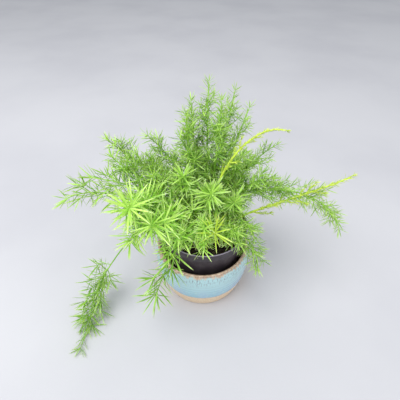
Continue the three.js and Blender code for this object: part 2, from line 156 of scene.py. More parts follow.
# Each stem rises out of the soil at root, is pulled over by its arch handle, or led via points, to its tip.
# bare is the share of its length below the first twig, twig the longest twig and needle the leaves' length.
# kind is its colour, where bright is a lighter copy of the green that paints light on the lit front stems, and
# habit how it carries its leaves; a stem with neither is green and leafy.
STEMS = [
    dict(name="back_tall", root=(6, 16), rise=80, arch=(4, 52, 236), tip=(7, 70, 284),
         bare=0.2, twigs=7, twig=36, needle=15, habit="crown"),
    dict(name="back_left_tall", root=(-4, 20), rise=75, arch=(-14, 52, 216), tip=(-15, 63, 264),
         bare=0.22, twigs=6, twig=34, needle=15, habit="crown"),
    dict(name="back_right_tall", root=(15, 20), rise=75, arch=(31, 64, 226), tip=(40, 74, 272),
         bare=0.22, twigs=6, twig=34, needle=15, habit="crown"),
    dict(name="upright", root=(-6, 6), rise=70, arch=(-21, 24, 212), tip=(-20, 34, 258),
         bare=0.22, twigs=6, twig=26, needle=18, habit="crown"),
    dict(name="inner_tall", root=(12, 8), rise=70, arch=(18, 34, 226), tip=(22, 44, 272),
         bare=0.25, twigs=5, twig=30, needle=15, habit="crown"),
    dict(name="left_back_far", root=(-14, 14), rise=70, arch=(-96, 31, 195), tip=(-119, 35, 224),
         bare=0.35, twigs=6, twig=36, needle=16),
    dict(name="left_back_near", root=(-11, 24), rise=75, arch=(-56, 56, 199), tip=(-71, 49, 222),
         bare=0.3, twigs=5, twig=32, needle=16),
    dict(name="left_back_mid", root=(-20, 8), rise=60, arch=(-85, 3, 185), tip=(-109, 5, 218),
         bare=0.35, twigs=5, twig=34, needle=18),
    dict(name="left_upper", root=(-24, 2), rise=60, arch=(-102, -14, 198), tip=(-130, -15, 202),
         bare=0.4, twigs=5, twig=34, needle=22, habit="sparse"),
    dict(name="left_lower", root=(-28, -5), rise=50, arch=(-128, -12, 197), tip=(-173, -8, 164),
         bare=0.42, twigs=6, twig=36, needle=22, habit="sparse"),
    dict(name="rosette", root=(-16, -10), rise=60, arch=(-88, -40, 176), tip=(-78, -70, 204),
         bare=0.4, twigs=5, twig=26, needle=27, kind="bright", habit="rosette"),
    dict(name="rosette_low", root=(-9, -18), rise=50, arch=(-58, -52, 168), tip=(-55, -80, 188),
         bare=0.38, twigs=4, twig=26, needle=24, kind="bright", habit="rosette"),
    dict(name="left_shoulder", root=(-22, -14), rise=64, arch=(-74, -49, 172), tip=(-87, -62, 145),
         bare=0.38, twigs=4, twig=28, needle=22, kind="bright", habit="rosette"),
    dict(name="trailing_long", root=(-28, -24), rise=38, tip=(-162, -125, 3),
         via=[(-54, -30, 154), (-94, -37, 119), (-120, -43, 85), (-142, -53, 50), (-154, -74, 18)],
         bare=0.6, twigs=6, twig=28, needle=24, habit="trailing"),
    dict(name="trailing_short", root=(-15, -28), rise=62, arch=(-36, -90, 150), tip=(-58, -97, 86),
         bare=0.55, twigs=3, twig=18, needle=27, habit="tufted"),
    dict(name="front_droop", root=(1, -24), rise=55, arch=(0, -70, 169), tip=(0, -80, 149),
         bare=0.35, twigs=4, twig=22, needle=18, kind="bright"),
    dict(name="star", root=(6, -16), rise=26, arch=(14, -42, 138), tip=(13, -64, 160),
         bare=0.4, twigs=3, twig=20, needle=22, kind="young", habit="star"),
    dict(name="centre_star", root=(4, -5), rise=42, arch=(10, -14, 176), tip=(9, -40, 198),
         bare=0.32, twigs=4, twig=26, needle=20, habit="rosette"),
    dict(name="centre_right", root=(13, -4), rise=40, arch=(34, -16, 164), tip=(36, -40, 184),
         bare=0.32, twigs=4, twig=28, needle=19),
    dict(name="right_droop", root=(20, -22), rise=62, arch=(69, -59, 145), tip=(70, -64, 91),
         bare=0.35, twigs=5, twig=26, needle=17, habit="thin"),
    dict(name="right_front", root=(20, -12), rise=58, arch=(54, -44, 167), tip=(62, -54, 142),
         bare=0.33, twigs=5, twig=28, needle=17, habit="thin"),
    dict(name="right_back_low", root=(24, 12), rise=62, arch=(76, 40, 205), tip=(96, 43, 212),
         bare=0.3, twigs=5, twig=34, needle=16, habit="thin"),
    dict(name="right_back_high", root=(22, 22), rise=75, arch=(48, 52, 226), tip=(58, 60, 256),
         bare=0.3, twigs=4, twig=28, needle=14, habit="crown"),
    dict(name="right_middle", root=(26, 4), rise=56, arch=(68, 9, 182), tip=(87, 9, 184),
         bare=0.3, twigs=5, twig=32, needle=17),
    dict(name="young_arching", root=(8, 1), rise=90, arch=(50, 14, 262), tip=(98, 20, 245),
         bare=0.5, twigs=4, twig=16, needle=9, kind="young", habit="budding"),
    dict(name="young_right", root=(29, -4), rise=30, arch=(122, -10, 164), tip=(181, -6, 198),
         bare=0.35, twigs=6, twig=26, needle=11, kind="young", habit="budding"),
    dict(name="right_far", root=(31, 9), rise=80, arch=(146, -3, 201), tip=(186, -12, 114),
         bare=0.4, twigs=7, twig=32, needle=17, habit="thin"),
    dict(name="right_outer", root=(30, 18), rise=58, arch=(92, 22, 166), tip=(117, 20, 150),
         bare=0.4, twigs=5, twig=28, needle=16, habit="thin"),
    dict(name="inner_left", root=(-13, 1), rise=42, arch=(-26, 1, 178), tip=(-24, -9, 200),
         bare=0.32, twigs=4, twig=28, needle=19, habit="rosette"),
    dict(name="inner_right", root=(18, 3), rise=45, arch=(42, 18, 192), tip=(48, 16, 212),
         bare=0.32, twigs=4, twig=28, needle=17),
    dict(name="front_left", root=(-6, -30), rise=40, arch=(-34, -66, 164), tip=(-40, -80, 146),
         bare=0.33, twigs=4, twig=24, needle=20, kind="bright", habit="rosette"),
    dict(name="front_right", root=(11, -29), rise=40, arch=(38, -58, 162), tip=(42, -72, 152),
         bare=0.33, twigs=4, twig=24, needle=18),
    dict(name="rear_low", root=(2, 31), rise=55, arch=(-6, 92, 176), tip=(-14, 112, 156),
         bare=0.3, twigs=5, twig=32, needle=17),
    dict(name="rear_right", root=(19, 30), rise=50, arch=(62, 84, 172), tip=(78, 100, 150),
         bare=0.3, twigs=5, twig=32, needle=17),
    dict(name="rear_left", root=(-18, 29), rise=50, arch=(-66, 80, 168), tip=(-86, 96, 142),
         bare=0.3, twigs=5, twig=32, needle=17),
]


# Growth of the stems and twigs, by the same rule as their solids

def chance(stem, place, purpose):
    """A repeatable value from 0 to 1 for a stem, a place on it and a purpose."""
    x = math.sin(stem * HASH_STEM + place * HASH_PLACE + purpose * HASH_PURPOSE) * HASH_SCALE
    return x - math.floor(x)


def varied(stem, place, purpose):
    """A factor near 1 by which one length differs from its stem's rule."""
    return 1 + SIZE_SPREAD * (2 * chance(stem, place, purpose) - 1)


def unit(vector):
    return vector / np.linalg.norm(vector)


def bezier(corners):
    """A Bezier curve of any degree through its first and last corner, as a function of 0 to 1."""
    corners = [np.array(corner, float) for corner in corners]

    def at(t):
        t = np.asarray(t, float)[..., None]
        points = corners
        while len(points) > 1:
            points = [(1 - t) * a + t * b for a, b in zip(points, points[1:])]
        return points[0]

    return at


def round_curve(points):
    """A centripetal Catmull-Rom curve through points, as a function of 0 to 1."""
    points = [np.array(point, float) for point in points]
    ends = [2 * points[0] - points[1], *points, 2 * points[-1] - points[-2]]

    def piece(a, b, c, d, t):
        gap_a, gap_b, gap_c = [math.sqrt(np.linalg.norm(q - p)) for p, q in ((a, b), (b, c), (c, d))]
        into = ((b - a) / gap_a - (c - a) / (gap_a + gap_b) + (c - b) / gap_b) * gap_b
        out = ((c - b) / gap_b - (d - b) / (gap_b + gap_c) + (d - c) / gap_c) * gap_b
        return b + into * t + (3 * (c - b) - 2 * into - out) * t**2 + (2 * (b - c) + into + out) * t**3

    def at(t):
        t = np.atleast_1d(np.asarray(t, float)) * (len(points) - 1)
        index = np.minimum(t.astype(int), len(points) - 2)
        return np.array([piece(*ends[i:i + 4], s - i) for i, s in zip(index, t)])

    return at


def evenly(curve, steps):
    """Points on a curve at even distances along it."""
    t = np.linspace(0, 1, ARC_STEPS + 1)
    along = np.concatenate([[0], np.cumsum(np.linalg.norm(np.diff(curve(t), axis=0), axis=1))])
    return curve(np.interp(np.linspace(0, along[-1], steps + 1), along, t))


def place_on(path, share):
    """The point at a share of a path's length, and the path's direction there."""
    gaps = np.linalg.norm(np.diff(path, axis=0), axis=1)
    along = np.concatenate([[0], np.cumsum(gaps)])
    distance = share * along[-1]
    i = min(max(int(np.searchsorted(along, distance)) - 1, 0), len(gaps) - 1)
    point = path[i] + (path[i + 1] - path[i]) * (distance - along[i]) / gaps[i]
    return point, unit(path[i + 1] - path[i])


def leaning(tangent, angle, roll):
    """The direction at an angle to a stem's own, turned round it by a roll; a roll of zero is level."""
    side = np.cross(tangent, (0, 0, 1))
    if np.linalg.norm(side) < 0.1:
        side = np.array((1.0, 0, 0)) - tangent * tangent[0]
    side = unit(side)
    across = np.cross(side, tangent)
    return (tangent * math.cos(angle) + side * math.sin(angle) * math.cos(roll)
            + across * math.sin(angle) * math.sin(roll))


def stem_path(stem, steps):
    """The stem's line, from its end in the soil to its tip."""
    x, y = stem["root"]
    collar = (x, y, SOIL_Z + SOIL_MOUND + COLLAR_LIFT)
    lift = (x, y, SOIL_Z + stem["rise"])
    if "via" in stem:
        curve = round_curve([collar, lift, *stem["via"], stem["tip"]])
    else:
        curve = bezier([collar, lift, stem["arch"], stem["tip"]])
    return np.vstack([(x, y, SOIL_Z - ROOT_DEPTH), evenly(curve, steps)])


def twig_corners(start, tangent, roll, length):
    """The corners that guide a twig: it leaves its stem and bends at its knee towards the stem's tip."""
    out = leaning(tangent, TWIG_ANGLE, roll)
    knee = start + out * length * TWIG_KNEE
    end = start + out * length * (1 - TWIG_TURN) + tangent * length * TWIG_TURN
    return [start, knee, end]


def in_the_open(p, margin):
    """Whether a point keeps clear of the pots, the soil and the surface that the pot stands on."""
    from_nursery = math.hypot(p[0] - NURSERY_OFFSET, p[1])
    if p[2] < margin:
        return False
    if p[2] < COVER_HEIGHT + margin and math.hypot(p[0], p[1]) < COVER_BELLY_RADIUS + margin:
        return False
    if p[2] > NURSERY_RIM_Z + margin:
        return True
    over_soil = p[2] > SOIL_Z + SOIL_MOUND + SOIL_LUMP + margin
    if over_soil and from_nursery < NURSERY_SHOULDER_RADIUS - NURSERY_WALL - margin:
        return True
    return from_nursery > NURSERY_RIM_RADIUS + margin


def line_gap(start, end, starts, ends):
    """The least distance from one straight piece to each of several others."""
    own, others, between = end - start, ends - starts, start - starts
    a, e, f = own @ own, np.einsum("ij,ij->i", others, others), np.einsum("ij,ij->i", others, between)
    b, c = others @ own, between @ own
    spread = a * e - b * b
    s = np.where(spread > 1e-9, np.clip((b * f - c * e) / np.maximum(spread, 1e-9), 0, 1), 0)
    t = (b * s + f) / e
    s = np.where(t < 0, np.clip(-c / a, 0, 1), np.where(t > 1, np.clip((b - c) / a, 0, 1), s))
    t = np.clip(t, 0, 1)
    return np.linalg.norm(between + np.outer(s, own) - others * t[:, None], axis=1)


def grow():
    """Every stem with its twigs: each twig's share of the stem's length, its roll and its own length."""
    plants = []
    for stem in STEMS:
        path = stem_path(stem, STEM_STEPS)
        sticks = [(a, b, STEM_RADIUS[0]) for a, b in zip(path, path[1:])]
        plants.append({"stem": stem, "path": path, "sticks": sticks, "twigs": []})
    for n, plant in enumerate(plants):
        grow_twigs(plant, n, plants)
    return plants


def grow_twigs(plant, n, plants):
    """Adds a stem's twigs, each turned round it until it is in the open and clear of all that grew before."""
    stem = plant["stem"]
    others = [stick for other in plants if other is not plant for stick in other["sticks"]]
    starts, ends = np.array([a for a, _, _ in others]), np.array([b for _, b, _ in others])
    least = np.array([radius for _, _, radius in others]) + TWIG_RADIUS + CLEARANCE
    for i in range(stem["twigs"]):
        share = i / stem["twigs"]
        at = stem["bare"] + (LAST_TWIG - stem["bare"]) * share
        start, tangent = place_on(plant["path"], at)
        length = stem["twig"] * (1 - TWIG_TAPER * share) * varied(n, i, TWIG_LENGTH_DRAW)
        roll = i * GOLDEN_ANGLE + 2 * math.pi * chance(n, 0, TWIG_ROLL_DRAW)
        for turn in ROLL_TRIES:
            corners = twig_corners(start, tangent, roll + turn, length)
            sticks = list(zip(corners, corners[1:]))
            air = TWIG_RADIUS + TWIG_AIR
            open_air = all(in_the_open(a + (b - a) * s, air) for a, b in sticks for s in TEST_SHARES)
            if open_air and all((line_gap(a, b, starts, ends) > least).all() for a, b in sticks):
                plant["twigs"].append({"at": at, "roll": roll + turn, "length": length})
                plant["sticks"] += [(a, b, TWIG_RADIUS) for a, b in sticks]
                break


# Leafy shoots, drawn finely round the same stems and twigs

# Lengths in millimetres, LEAF_SPREAD in degrees, turns and the twist in radians, and the rest shares
FIRST_STEM_SEED = 100
STEM_DRAWN = 44
TWIG_DRAWN = 9
STEM_GIRTH = (1.3, 0.6)
TWIG_GIRTH = (0.6, 0.35)
STEM_SIDES = 8
TWIG_SIDES = 6
LEAF_STATIONS = np.array((0, 0.2, 0.58, 0.88))
LEAF_WIDTHS = np.array((0.42, 0.88, 1, 0.56))
LEAF_KEEL = 0.27
LEAF_AIR = 0.5
LEAF_TURNS = [math.radians(turn) for turn in (0, 45, -45, 90, -90, 180)]
LEAF_SPREAD = 12
LEAF_CURL = 0.09
LEAF_TWIST = 0.5
LEAF_SIZES = (0.62, 1.12)
LEAF_BROADNESS = (0.85, 1.15)
LEAF_LEAST_WIDTH = 0.3
LEAF_MOST_WIDTH = 1.1
LEAF_FULL_LENGTH = 32
WHORL_TURN = 0.22
WHORL_EXTRA = 0.3
YOUNG_FROM = 0.6
LOW_LEAF_LOSS = 0.25
STAR_TURN = 0.2
STAR_SIZES = (0.72, 1.02)
TWIG_TUFT = 0.7
SHOOT_AIR = 1.2
SHORT_TWIG_LAST = 0.96
SHORT_TWIG_SIZES = (0.75, 1.2)
SHORT_TWIG_TURN = 0.6
WOODY_END = 0.85
WOODY_FADE = 0.15
WOODY_MOST = 0.9
STEM_TONE = 0.55
STEM_PALE = 0.5
TWIG_PALE = 0.6

# How a stem carries its leaves:
# angle, tip_angle: degrees between a leaf and its shoot, low on the shoot and at its tip
# short_tip, short_end: how much shorter leaves get towards a twig's tip, and towards the stem's if it differs
# long, slim, girth: shares of the usual for leaves' length and width, and for the thickness of stem and twigs
# crowd: share of the usual for the gap between whorls
# start: share of a twig's length below its first leaf
# tuft, open, flat: leaves in the star at a tip, the degrees it opens, and its inner leaves' share of them
# bend: how far a leaf curves up, as a share of its length
# between: shorter twigs after each long one
# light: how light the leaves are; it paints light and shade on whole stems, lighter on the rosettes at the lit
# front left, darker on the thin stems at the right and darkest on the low, hanging ones
LEAFY = dict(angle=70, tip_angle=58, short_tip=0.12, long=1.1, slim=1, girth=1, crowd=1, start=0.12, tuft=8,
             open=68, flat=0.2, bend=0.03, between=3, light=1)
HABITS = {
    "leafy": LEAFY,
    "crown": dict(LEAFY, angle=74, tip_angle=62, short_tip=0.2, slim=0.95, crowd=0.95, start=0.1, tuft=6,
                  open=62, bend=0.02, between=4, light=0.9),
    "thin": dict(LEAFY, angle=66, tip_angle=52, short_tip=0.15, long=1, slim=0.9, crowd=1.25, start=0.2,
                 tuft=6, open=60, bend=-0.04, light=0.8),
    "sparse": dict(LEAFY, angle=58, tip_angle=46, short_tip=0, slim=0.95, crowd=2.2, start=0.4, tuft=7,
                   open=60, bend=-0.03, between=1, light=0.9),
    "rosette": dict(LEAFY, angle=66, tip_angle=60, short_tip=0, long=1.18, slim=1.1, crowd=1.4, start=0.25,
                    tuft=13, open=80, bend=0, between=2, light=1.1),
    "star": dict(LEAFY, angle=74, tip_angle=72, short_tip=0, long=1.15, slim=1.1, crowd=4, start=0.6, tuft=14,
                 open=82, flat=0.75, bend=0, between=0, light=0.3),
    "budding": dict(LEAFY, angle=40, tip_angle=30, short_tip=0, long=0.72, slim=1.15, girth=1.45, crowd=0.9,
                    start=0.1, tuft=7, open=40, bend=0.06, between=1),
    "trailing": dict(LEAFY, angle=64, tip_angle=50, short_tip=0, short_end=0.3, long=1, slim=0.95, crowd=1.5,
                     start=0.2, tuft=9, open=62, bend=-0.14, between=2, light=0.5),
    "tufted": dict(LEAFY, angle=52, tip_angle=44, short_tip=0, long=1.14, slim=1.15, crowd=2.2, start=0.6,
                   tuft=11, open=64, bend=-0.1, between=0, light=0.4),
}


def shoot_line(plant, twig):
    """A twig's smooth line, from the middle of its smooth stem outwards."""
    start, tangent = place_on(plant["path"], twig["at"])
    corners = np.array(twig_corners(start, tangent, twig["roll"], twig["length"]))
    corners += place_on(plant["line"], twig["at"])[0] - start
    return bezier(corners)(np.linspace(0, 1, TWIG_DRAWN + 1))


def twigs_between(plant, rng, shorter, count):
    """Shorter twigs between those of the solids, turned away from them."""
    stem, made = plant["stem"], []
    step = (LAST_TWIG - stem["bare"]) / stem["twigs"]
    for twig in plant["twigs"]:
        for i in range(1, count + 1):
            at = min(twig["at"] + step * i / (count + 1), SHORT_TWIG_LAST)
            share = (at - stem["bare"]) / (LAST_TWIG - stem["bare"])
            length = stem["twig"] * (1 - TWIG_TAPER * share) * shorter * rng.uniform(*SHORT_TWIG_SIZES)
            roll = twig["roll"] + 2 * math.pi * i / (count + 1)
            roll += rng.uniform(-SHORT_TWIG_TURN, SHORT_TWIG_TURN)
            made.append({"at": at, "roll": roll, "length": length})
    return made


class Leaves:
    """The leaves of one stem, gathered whorl by whorl."""

    def __init__(self, rng, width, light):
        self.rng = rng
        self.width = width
        self.light = light
        self.rows = []

    def add(self, start, tangent, angle, roll, length, bend):
        """Adds a leaf, turned round its shoot until it is in the open air, or laid on the surface below."""
        for turn in LEAF_TURNS:
            out = leaning(tangent, angle, roll + turn)
            lowest = LEAF_AIR + self.width - start[2]
            if out[2] * length < lowest:
                out = unit(np.array((out[0], out[1], lowest / length)))
            if all(in_the_open(start + out * length * share, LEAF_AIR) for share in TEST_SHARES):
                break
        else:
            return
        flat = np.cross(out, tangent)
        flat = unit(flat) if np.linalg.norm(flat) > 0.05 else unit(np.cross(out, (0.3, 0.2, 1)))
        twist = self.rng.normal(0, LEAF_TWIST)
        across = flat * math.cos(twist) + np.cross(out, flat) * math.sin(twist)
        bend = max(bend + self.rng.normal(0, LEAF_CURL), (LEAF_AIR - start[2]) / length - out[2])
        width = self.width * self.rng.uniform(*LEAF_BROADNESS)
        width *= min(LEAF_MOST_WIDTH, LEAF_LEAST_WIDTH + length / LEAF_FULL_LENGTH)
        # A leaf's tone is random, scaled by its stem's light: painted light and shade.
        self.rows.append((*start, *out, *across, length, width, bend, self.rng.random() * self.light))

    def clothe(self, line, first, habit):
        """Adds whorls of leaves along a shoot's line, after a first share of it, and a star at its tip."""
        total = np.linalg.norm(np.diff(line, axis=0), axis=1).sum()
        count = round(total * (1 - first) / habit["gap"])
        turned = self.rng.uniform(0, 2 * math.pi)
        for i in range(count):
            share = first + (1 - first) * (i + 0.5) / count
            start, tangent = place_on(line, share)
            young = max(0, (share - YOUNG_FROM) / (1 - YOUNG_FROM))
            lean = habit["angle"] + (habit["tip_angle"] - habit["angle"]) * young
            size = habit["needle"] * (1 - LOW_LEAF_LOSS * (1 - share) - habit["short_tip"] * young)
            leaves = habit["whorl"] + (self.rng.random() < WHORL_EXTRA)
            for k in range(leaves):
                roll = turned + i * GOLDEN_ANGLE + 2 * math.pi * k / leaves + self.rng.normal(0, WHORL_TURN)
                angle = math.radians(lean + self.rng.normal(0, LEAF_SPREAD))
                self.add(start, tangent, angle, roll, size * self.rng.uniform(*LEAF_SIZES), habit["bend"])
        end, tangent = place_on(line, 1)
        for k in range(habit["tuft"]):
            roll = turned + k * GOLDEN_ANGLE + self.rng.normal(0, STAR_TURN)
            outwards = math.sqrt((k + 0.5) / habit["tuft"])
            angle = math.radians(habit["open"] * (habit["flat"] + (1 - habit["flat"]) * outwards))
            size = habit["needle"] * (1 - habit["short_tip"]) * self.rng.uniform(*STAR_SIZES)
            self.add(end, tangent, angle, roll, size, habit["bend"])

    def mesh(self):
        """Vertices, faces and values of the leaves: slim, slightly curved blades with a keel below."""
        rows = np.array(self.rows)
        start, out, across = rows[:, 0:3], rows[:, 3:6], rows[:, 6:9]
        length, width, bend, tone = rows[:, 9], rows[:, 10], rows[:, 11], rows[:, 12]
        up = np.cross(across, out)
        up *= np.where(up[:, 2] < 0, -1, 1)[:, None]
        across = np.cross(out, up)
        points, shares = [], []
        for station, wide in zip(LEAF_STATIONS, LEAF_WIDTHS):
            middle = start + out * (length * station)[:, None] + up * (bend * length * station**2)[:, None]
            half = across * (width * wide / 2)[:, None]
            points += [middle - half, middle + half, middle - up * (width * wide * LEAF_KEEL)[:, None]]
            shares += [station] * 3
        points.append(start + out * length[:, None] + up * (bend * length)[:, None])
        shares.append(1)
        size = len(points)
        corners = np.arange(3)
        following = (corners + 1) % 3
        faces = [(0, 2, 1)]
        for ring in range(len(LEAF_STATIONS) - 1):
            low, high = ring * 3, ring * 3 + 3
            faces += [(low + a, low + b, high + b) for a, b in zip(corners, following)]
            faces += [(low + a, high + b, high + a) for a, b in zip(corners, following)]
        last = (len(LEAF_STATIONS) - 1) * 3
        faces += [(last + a, last + b, size - 1) for a, b in zip(corners, following)]
        vertices = np.stack(points, 1).reshape(-1, 3)
        faces = (np.arange(len(rows))[:, None, None] * size + np.array(faces)[None]).reshape(-1, 3)
        values = {
            "tone": np.repeat(tone, size),
            "along": np.tile(shares, len(rows)),
            "woody": np.zeros(len(rows) * size),
        }
        return vertices, faces, values


def tube(line, radii, sides):
    """Vertices and triangles of a closed round rod along a line, ending in a point."""
    tangents = np.gradient(line, axis=0)
    tangents /= np.linalg.norm(tangents, axis=1)[:, None]
    side = unit(np.cross(tangents[0], (0.31, 0.95, 0.05)))
    turns = np.arange(sides) * 2 * math.pi / sides
    vertices = []
    for point, tangent, radius in zip(line[:-1], tangents, radii):
        side = unit(side - tangent * (side @ tangent))
        other = np.cross(tangent, side)
        vertices += [point + radius * (side * math.cos(a) + other * math.sin(a)) for a in turns]
    rings = len(line) - 1
    vertices += [line[0], line[-1]]
    faces = []
    for i in range(sides):
        j = (i + 1) % sides
        faces.append((rings * sides, j, i))
        for ring in range(rings - 1):
            low, high = ring * sides, (ring + 1) * sides
            faces += [(low + i, low + j, high + j), (low + i, high + j, high + i)]
        top = (rings - 1) * sides
        faces.append((top + i, top + j, rings * sides + 1))
    share = np.concatenate([np.repeat(np.arange(rings) / rings, sides), [0, 1]])
    return np.array(vertices), np.array(faces), share


# Meshes

def new_piece(name, parts, material=None, sharp=None):
    """An object of a mesh given in millimetres; each part has vertices, faces and values at its vertices."""
    vertices, faces, values, first = [], [], {}, 0
    for points, loops, held in parts:
        vertices.append(np.asarray(points) * MM)
        faces += [[int(i) + first for i in loop] for loop in loops]
        for key, array in held.items():
            values.setdefault(key, []).append(array)
        first += len(points)
    mesh = bpy.data.meshes.new(name)
    mesh.from_pydata(np.concatenate(vertices).tolist(), [], faces)
    for key, arrays in values.items():
        held = mesh.attributes.new(key, "FLOAT", "POINT")
        held.data.foreach_set("value", np.concatenate(arrays).astype(np.float32))
    if material:
        mesh.materials.append(material)
    mesh.shade_smooth()
    if sharp:
        mesh.set_sharp_from_angle(angle=math.radians(sharp))
    if mesh.validate():
        raise RuntimeError(f"the mesh of {name} has faults")
    piece = bpy.data.objects.new(name, mesh)
    bpy.context.scene.collection.objects.link(piece)
    return piece


def turned_shape(profile, sides, ripple=None):
    """A closed shape turned about the Z axis, from a profile of (radius, height) whose ends lie on it."""
    inner = np.array(profile[1:-1], float)
    angles = np.arange(sides) * 2 * math.pi / sides
    angle = np.repeat(angles[None], len(inner), axis=0)
    radius = np.repeat(inner[:, :1], sides, axis=1)
    height = np.repeat(inner[:, 1:], sides, axis=1)
    if ripple:
        radius, height = ripple(angle, radius, height)
    rings = np.stack([radius * np.cos(angle), radius * np.sin(angle), height], -1).reshape(-1, 3)
    ends = [(0, 0, profile[0][1]), (0, 0, profile[-1][1])]
    faces, last, start, end = [], (len(inner) - 1) * sides, len(rings), len(rings) + 1
    for i in range(sides):
        j = (i + 1) % sides
        faces.append((start, j, i))
        for low in range(0, last, sides):
            high = low + sides
            faces.append((low + i, low + j, high + j, high + i))
        faces.append((last + i, last + j, end))
    return np.concatenate([rings, ends]), faces


def rounded(before, corner, after, radius, steps=6):
    """The points of an arc that rounds a profile's corner."""
    before, corner, after = (np.array(point, float) for point in (before, corner, after))
    start = corner + unit(before - corner) * radius
    end = corner + unit(after - corner) * radius
    return [tuple(point) for point in bezier([start, corner, end])(np.linspace(0, 1, steps + 1))]


# Shader nodes

def srgb(code):
    """A colour as shaders hold it, from its usual hexadecimal code."""
    parts = [int(code[i:i + 2], 16) / 255 for i in (0, 2, 4)]
    return tuple(part / 12.92 if part <= 0.04045 else ((part + 0.055) / 1.055)**2.4 for part in parts)


def add(tree, kind, inputs=None, **settings):
    """A new node whose inputs are set to values or linked to other nodes' outputs."""
    node = tree.nodes.new(kind)
    node.location = (180 * len(tree.nodes), 0)
    for name, value in settings.items():
        setattr(node, name, value)
    for key, value in (inputs or {}).items():
        socket = node.inputs[key]
        if isinstance(value, bpy.types.NodeSocket):
            tree.links.new(value, socket)
        elif socket.type == "RGBA" and len(value) == 3:
            socket.default_value = (*value, 1)
        else:
            socket.default_value = value
    return node


def maths(tree, operation, *values):
    """A sum or other working of numbers."""
    return add(tree, "ShaderNodeMath", dict(enumerate(values)), operation=operation).outputs[0]


def mix(tree, share, first, second):
    """A blend of two colours."""
    return add(tree, "ShaderNodeMix", {0: share, 6: first, 7: second}, data_type="RGBA").outputs[2]


def span(tree, value, low, high, to_low=0.0, to_high=1.0):
    """A value mapped smoothly from one span to another, and held at its ends."""
    inputs = {"Value": value, "From Min": low, "From Max": high, "To Min": to_low, "To Max": to_high}
    return add(tree, "ShaderNodeMapRange", inputs, interpolation_type="SMOOTHSTEP").outputs[0]


def clouds(tree, where, scale, detail=3.0):
    return add(tree, "ShaderNodeTexNoise", {"Vector": where, "Scale": scale, "Detail": detail}).outputs["Fac"]


def scaled(tree, where, scale):
    return add(tree, "ShaderNodeVectorMath", {0: where, 1: scale}, operation="MULTIPLY").outputs[0]


def height_mm(tree, where):
    """How far a place is up from the surface below, in millimetres."""
    return maths(tree, "DIVIDE", add(tree, "ShaderNodeSeparateXYZ", {0: where}).outputs[2], MM)


def reach_mm(tree, level):
    """How far a place is out from the upright axis, in millimetres."""
    length = add(tree, "ShaderNodeVectorMath", {0: level}, operation="LENGTH").outputs[1]
    return maths(tree, "DIVIDE", length, MM)


def attribute(tree, name):
    return add(tree, "ShaderNodeAttribute", attribute_name=name).outputs["Fac"]


def place(tree):
    """A point's place on the object, in metres."""
    return add(tree, "ShaderNodeTexCoord").outputs["Object"]


def new_group(name, inputs, outputs):
    """A node group with named sockets: its tree, its inputs and the node that takes its outputs."""
    tree = bpy.data.node_groups.new(name, "ShaderNodeTree")
    for label, value in inputs.items():
        kind = "NodeSocketFloat" if isinstance(value, (int, float)) else "NodeSocketColor"
        socket = tree.interface.new_socket(label, in_out="INPUT", socket_type=kind)
        socket.default_value = value if kind == "NodeSocketFloat" else (*value, 1)
    for label, kind in outputs.items():
        tree.interface.new_socket(label, in_out="OUTPUT", socket_type="NodeSocket" + kind)
    return tree, add(tree, "NodeGroupInput").outputs, add(tree, "NodeGroupOutput")


def give(tree, end, **outputs):
    for label, socket in outputs.items():
        tree.links.new(socket, end.inputs[label])
    return tree


def use(tree, group, **inputs):
    """A node that places a group in a material, with that material's own values."""
    node = add(tree, "ShaderNodeGroup", node_tree=group)
    for label, value in inputs.items():
        node.inputs[label].default_value = (*value, 1) if node.inputs[label].type == "RGBA" else value
    return node.outputs


def new_material(name):
    """A material of one shader, its node tree and that shader."""
    material = bpy.data.materials.new(name)
    material.use_nodes = True
    tree = material.node_tree
    tree.nodes.clear()
    shader = add(tree, "ShaderNodeBsdfPrincipled")
    add(tree, "ShaderNodeOutputMaterial", {"Surface": shader.outputs[0]})
    return material, tree, shader


def connect(tree, shader, bump=None, **sockets):
    """Links a shader's inputs, and a height in millimetres as its bump."""
    for label, socket in sockets.items():
        tree.links.new(socket, shader.inputs[label.replace("_", " ")])
    if bump:
        relief = add(tree, "ShaderNodeBump", {"Height": bump, "Distance": MM})
        tree.links.new(relief.outputs[0], shader.inputs["Normal"])


# Effects that several materials share

def leaf_colour_group():
    """Colour of leaves and stems: each leaf its own tone, paler at its tip, and brown where it is woody."""
    name = "Leaf colour"
    if name in bpy.data.node_groups:
        return bpy.data.node_groups[name]
    inputs = {"Deep": srgb("3f7a1a"), "Light": srgb("8fc94a"), "Tip": srgb("c4e07a"), "Wood": srgb("8a6f45")}
    tree, values, end = new_group(name, inputs, {"Color": "Color", "Roughness": "Float", "Height": "Float"})
    where = place(tree)
    patch = clouds(tree, where, 35.0, 2.0)
    own = maths(tree, "MULTIPLY_ADD", attribute(tree, "tone"), 0.75, -0.35)
    tone = maths(tree, "MULTIPLY_ADD", patch, 0.9, own)
    colour = mix(tree, span(tree, tone, 0.0, 0.8), values["Deep"], values["Light"])
    colour = mix(tree, span(tree, attribute(tree, "along"), 0.55, 1.0, 0.0, 0.55), colour, values["Tip"])
    colour = mix(tree, span(tree, attribute(tree, "woody"), 0.1, 0.9), colour, values["Wood"])
    speck = clouds(tree, where, 900.0, 2.0)
    colour = mix(tree, span(tree, speck, 0.55, 0.8, 0.0, 0.3), colour, values["Deep"])
    rough = span(tree, speck, 0.3, 0.8, 0.34, 0.56)
    return give(tree, end, Color=colour, Roughness=rough, Height=maths(tree, "MULTIPLY", speck, 0.05))


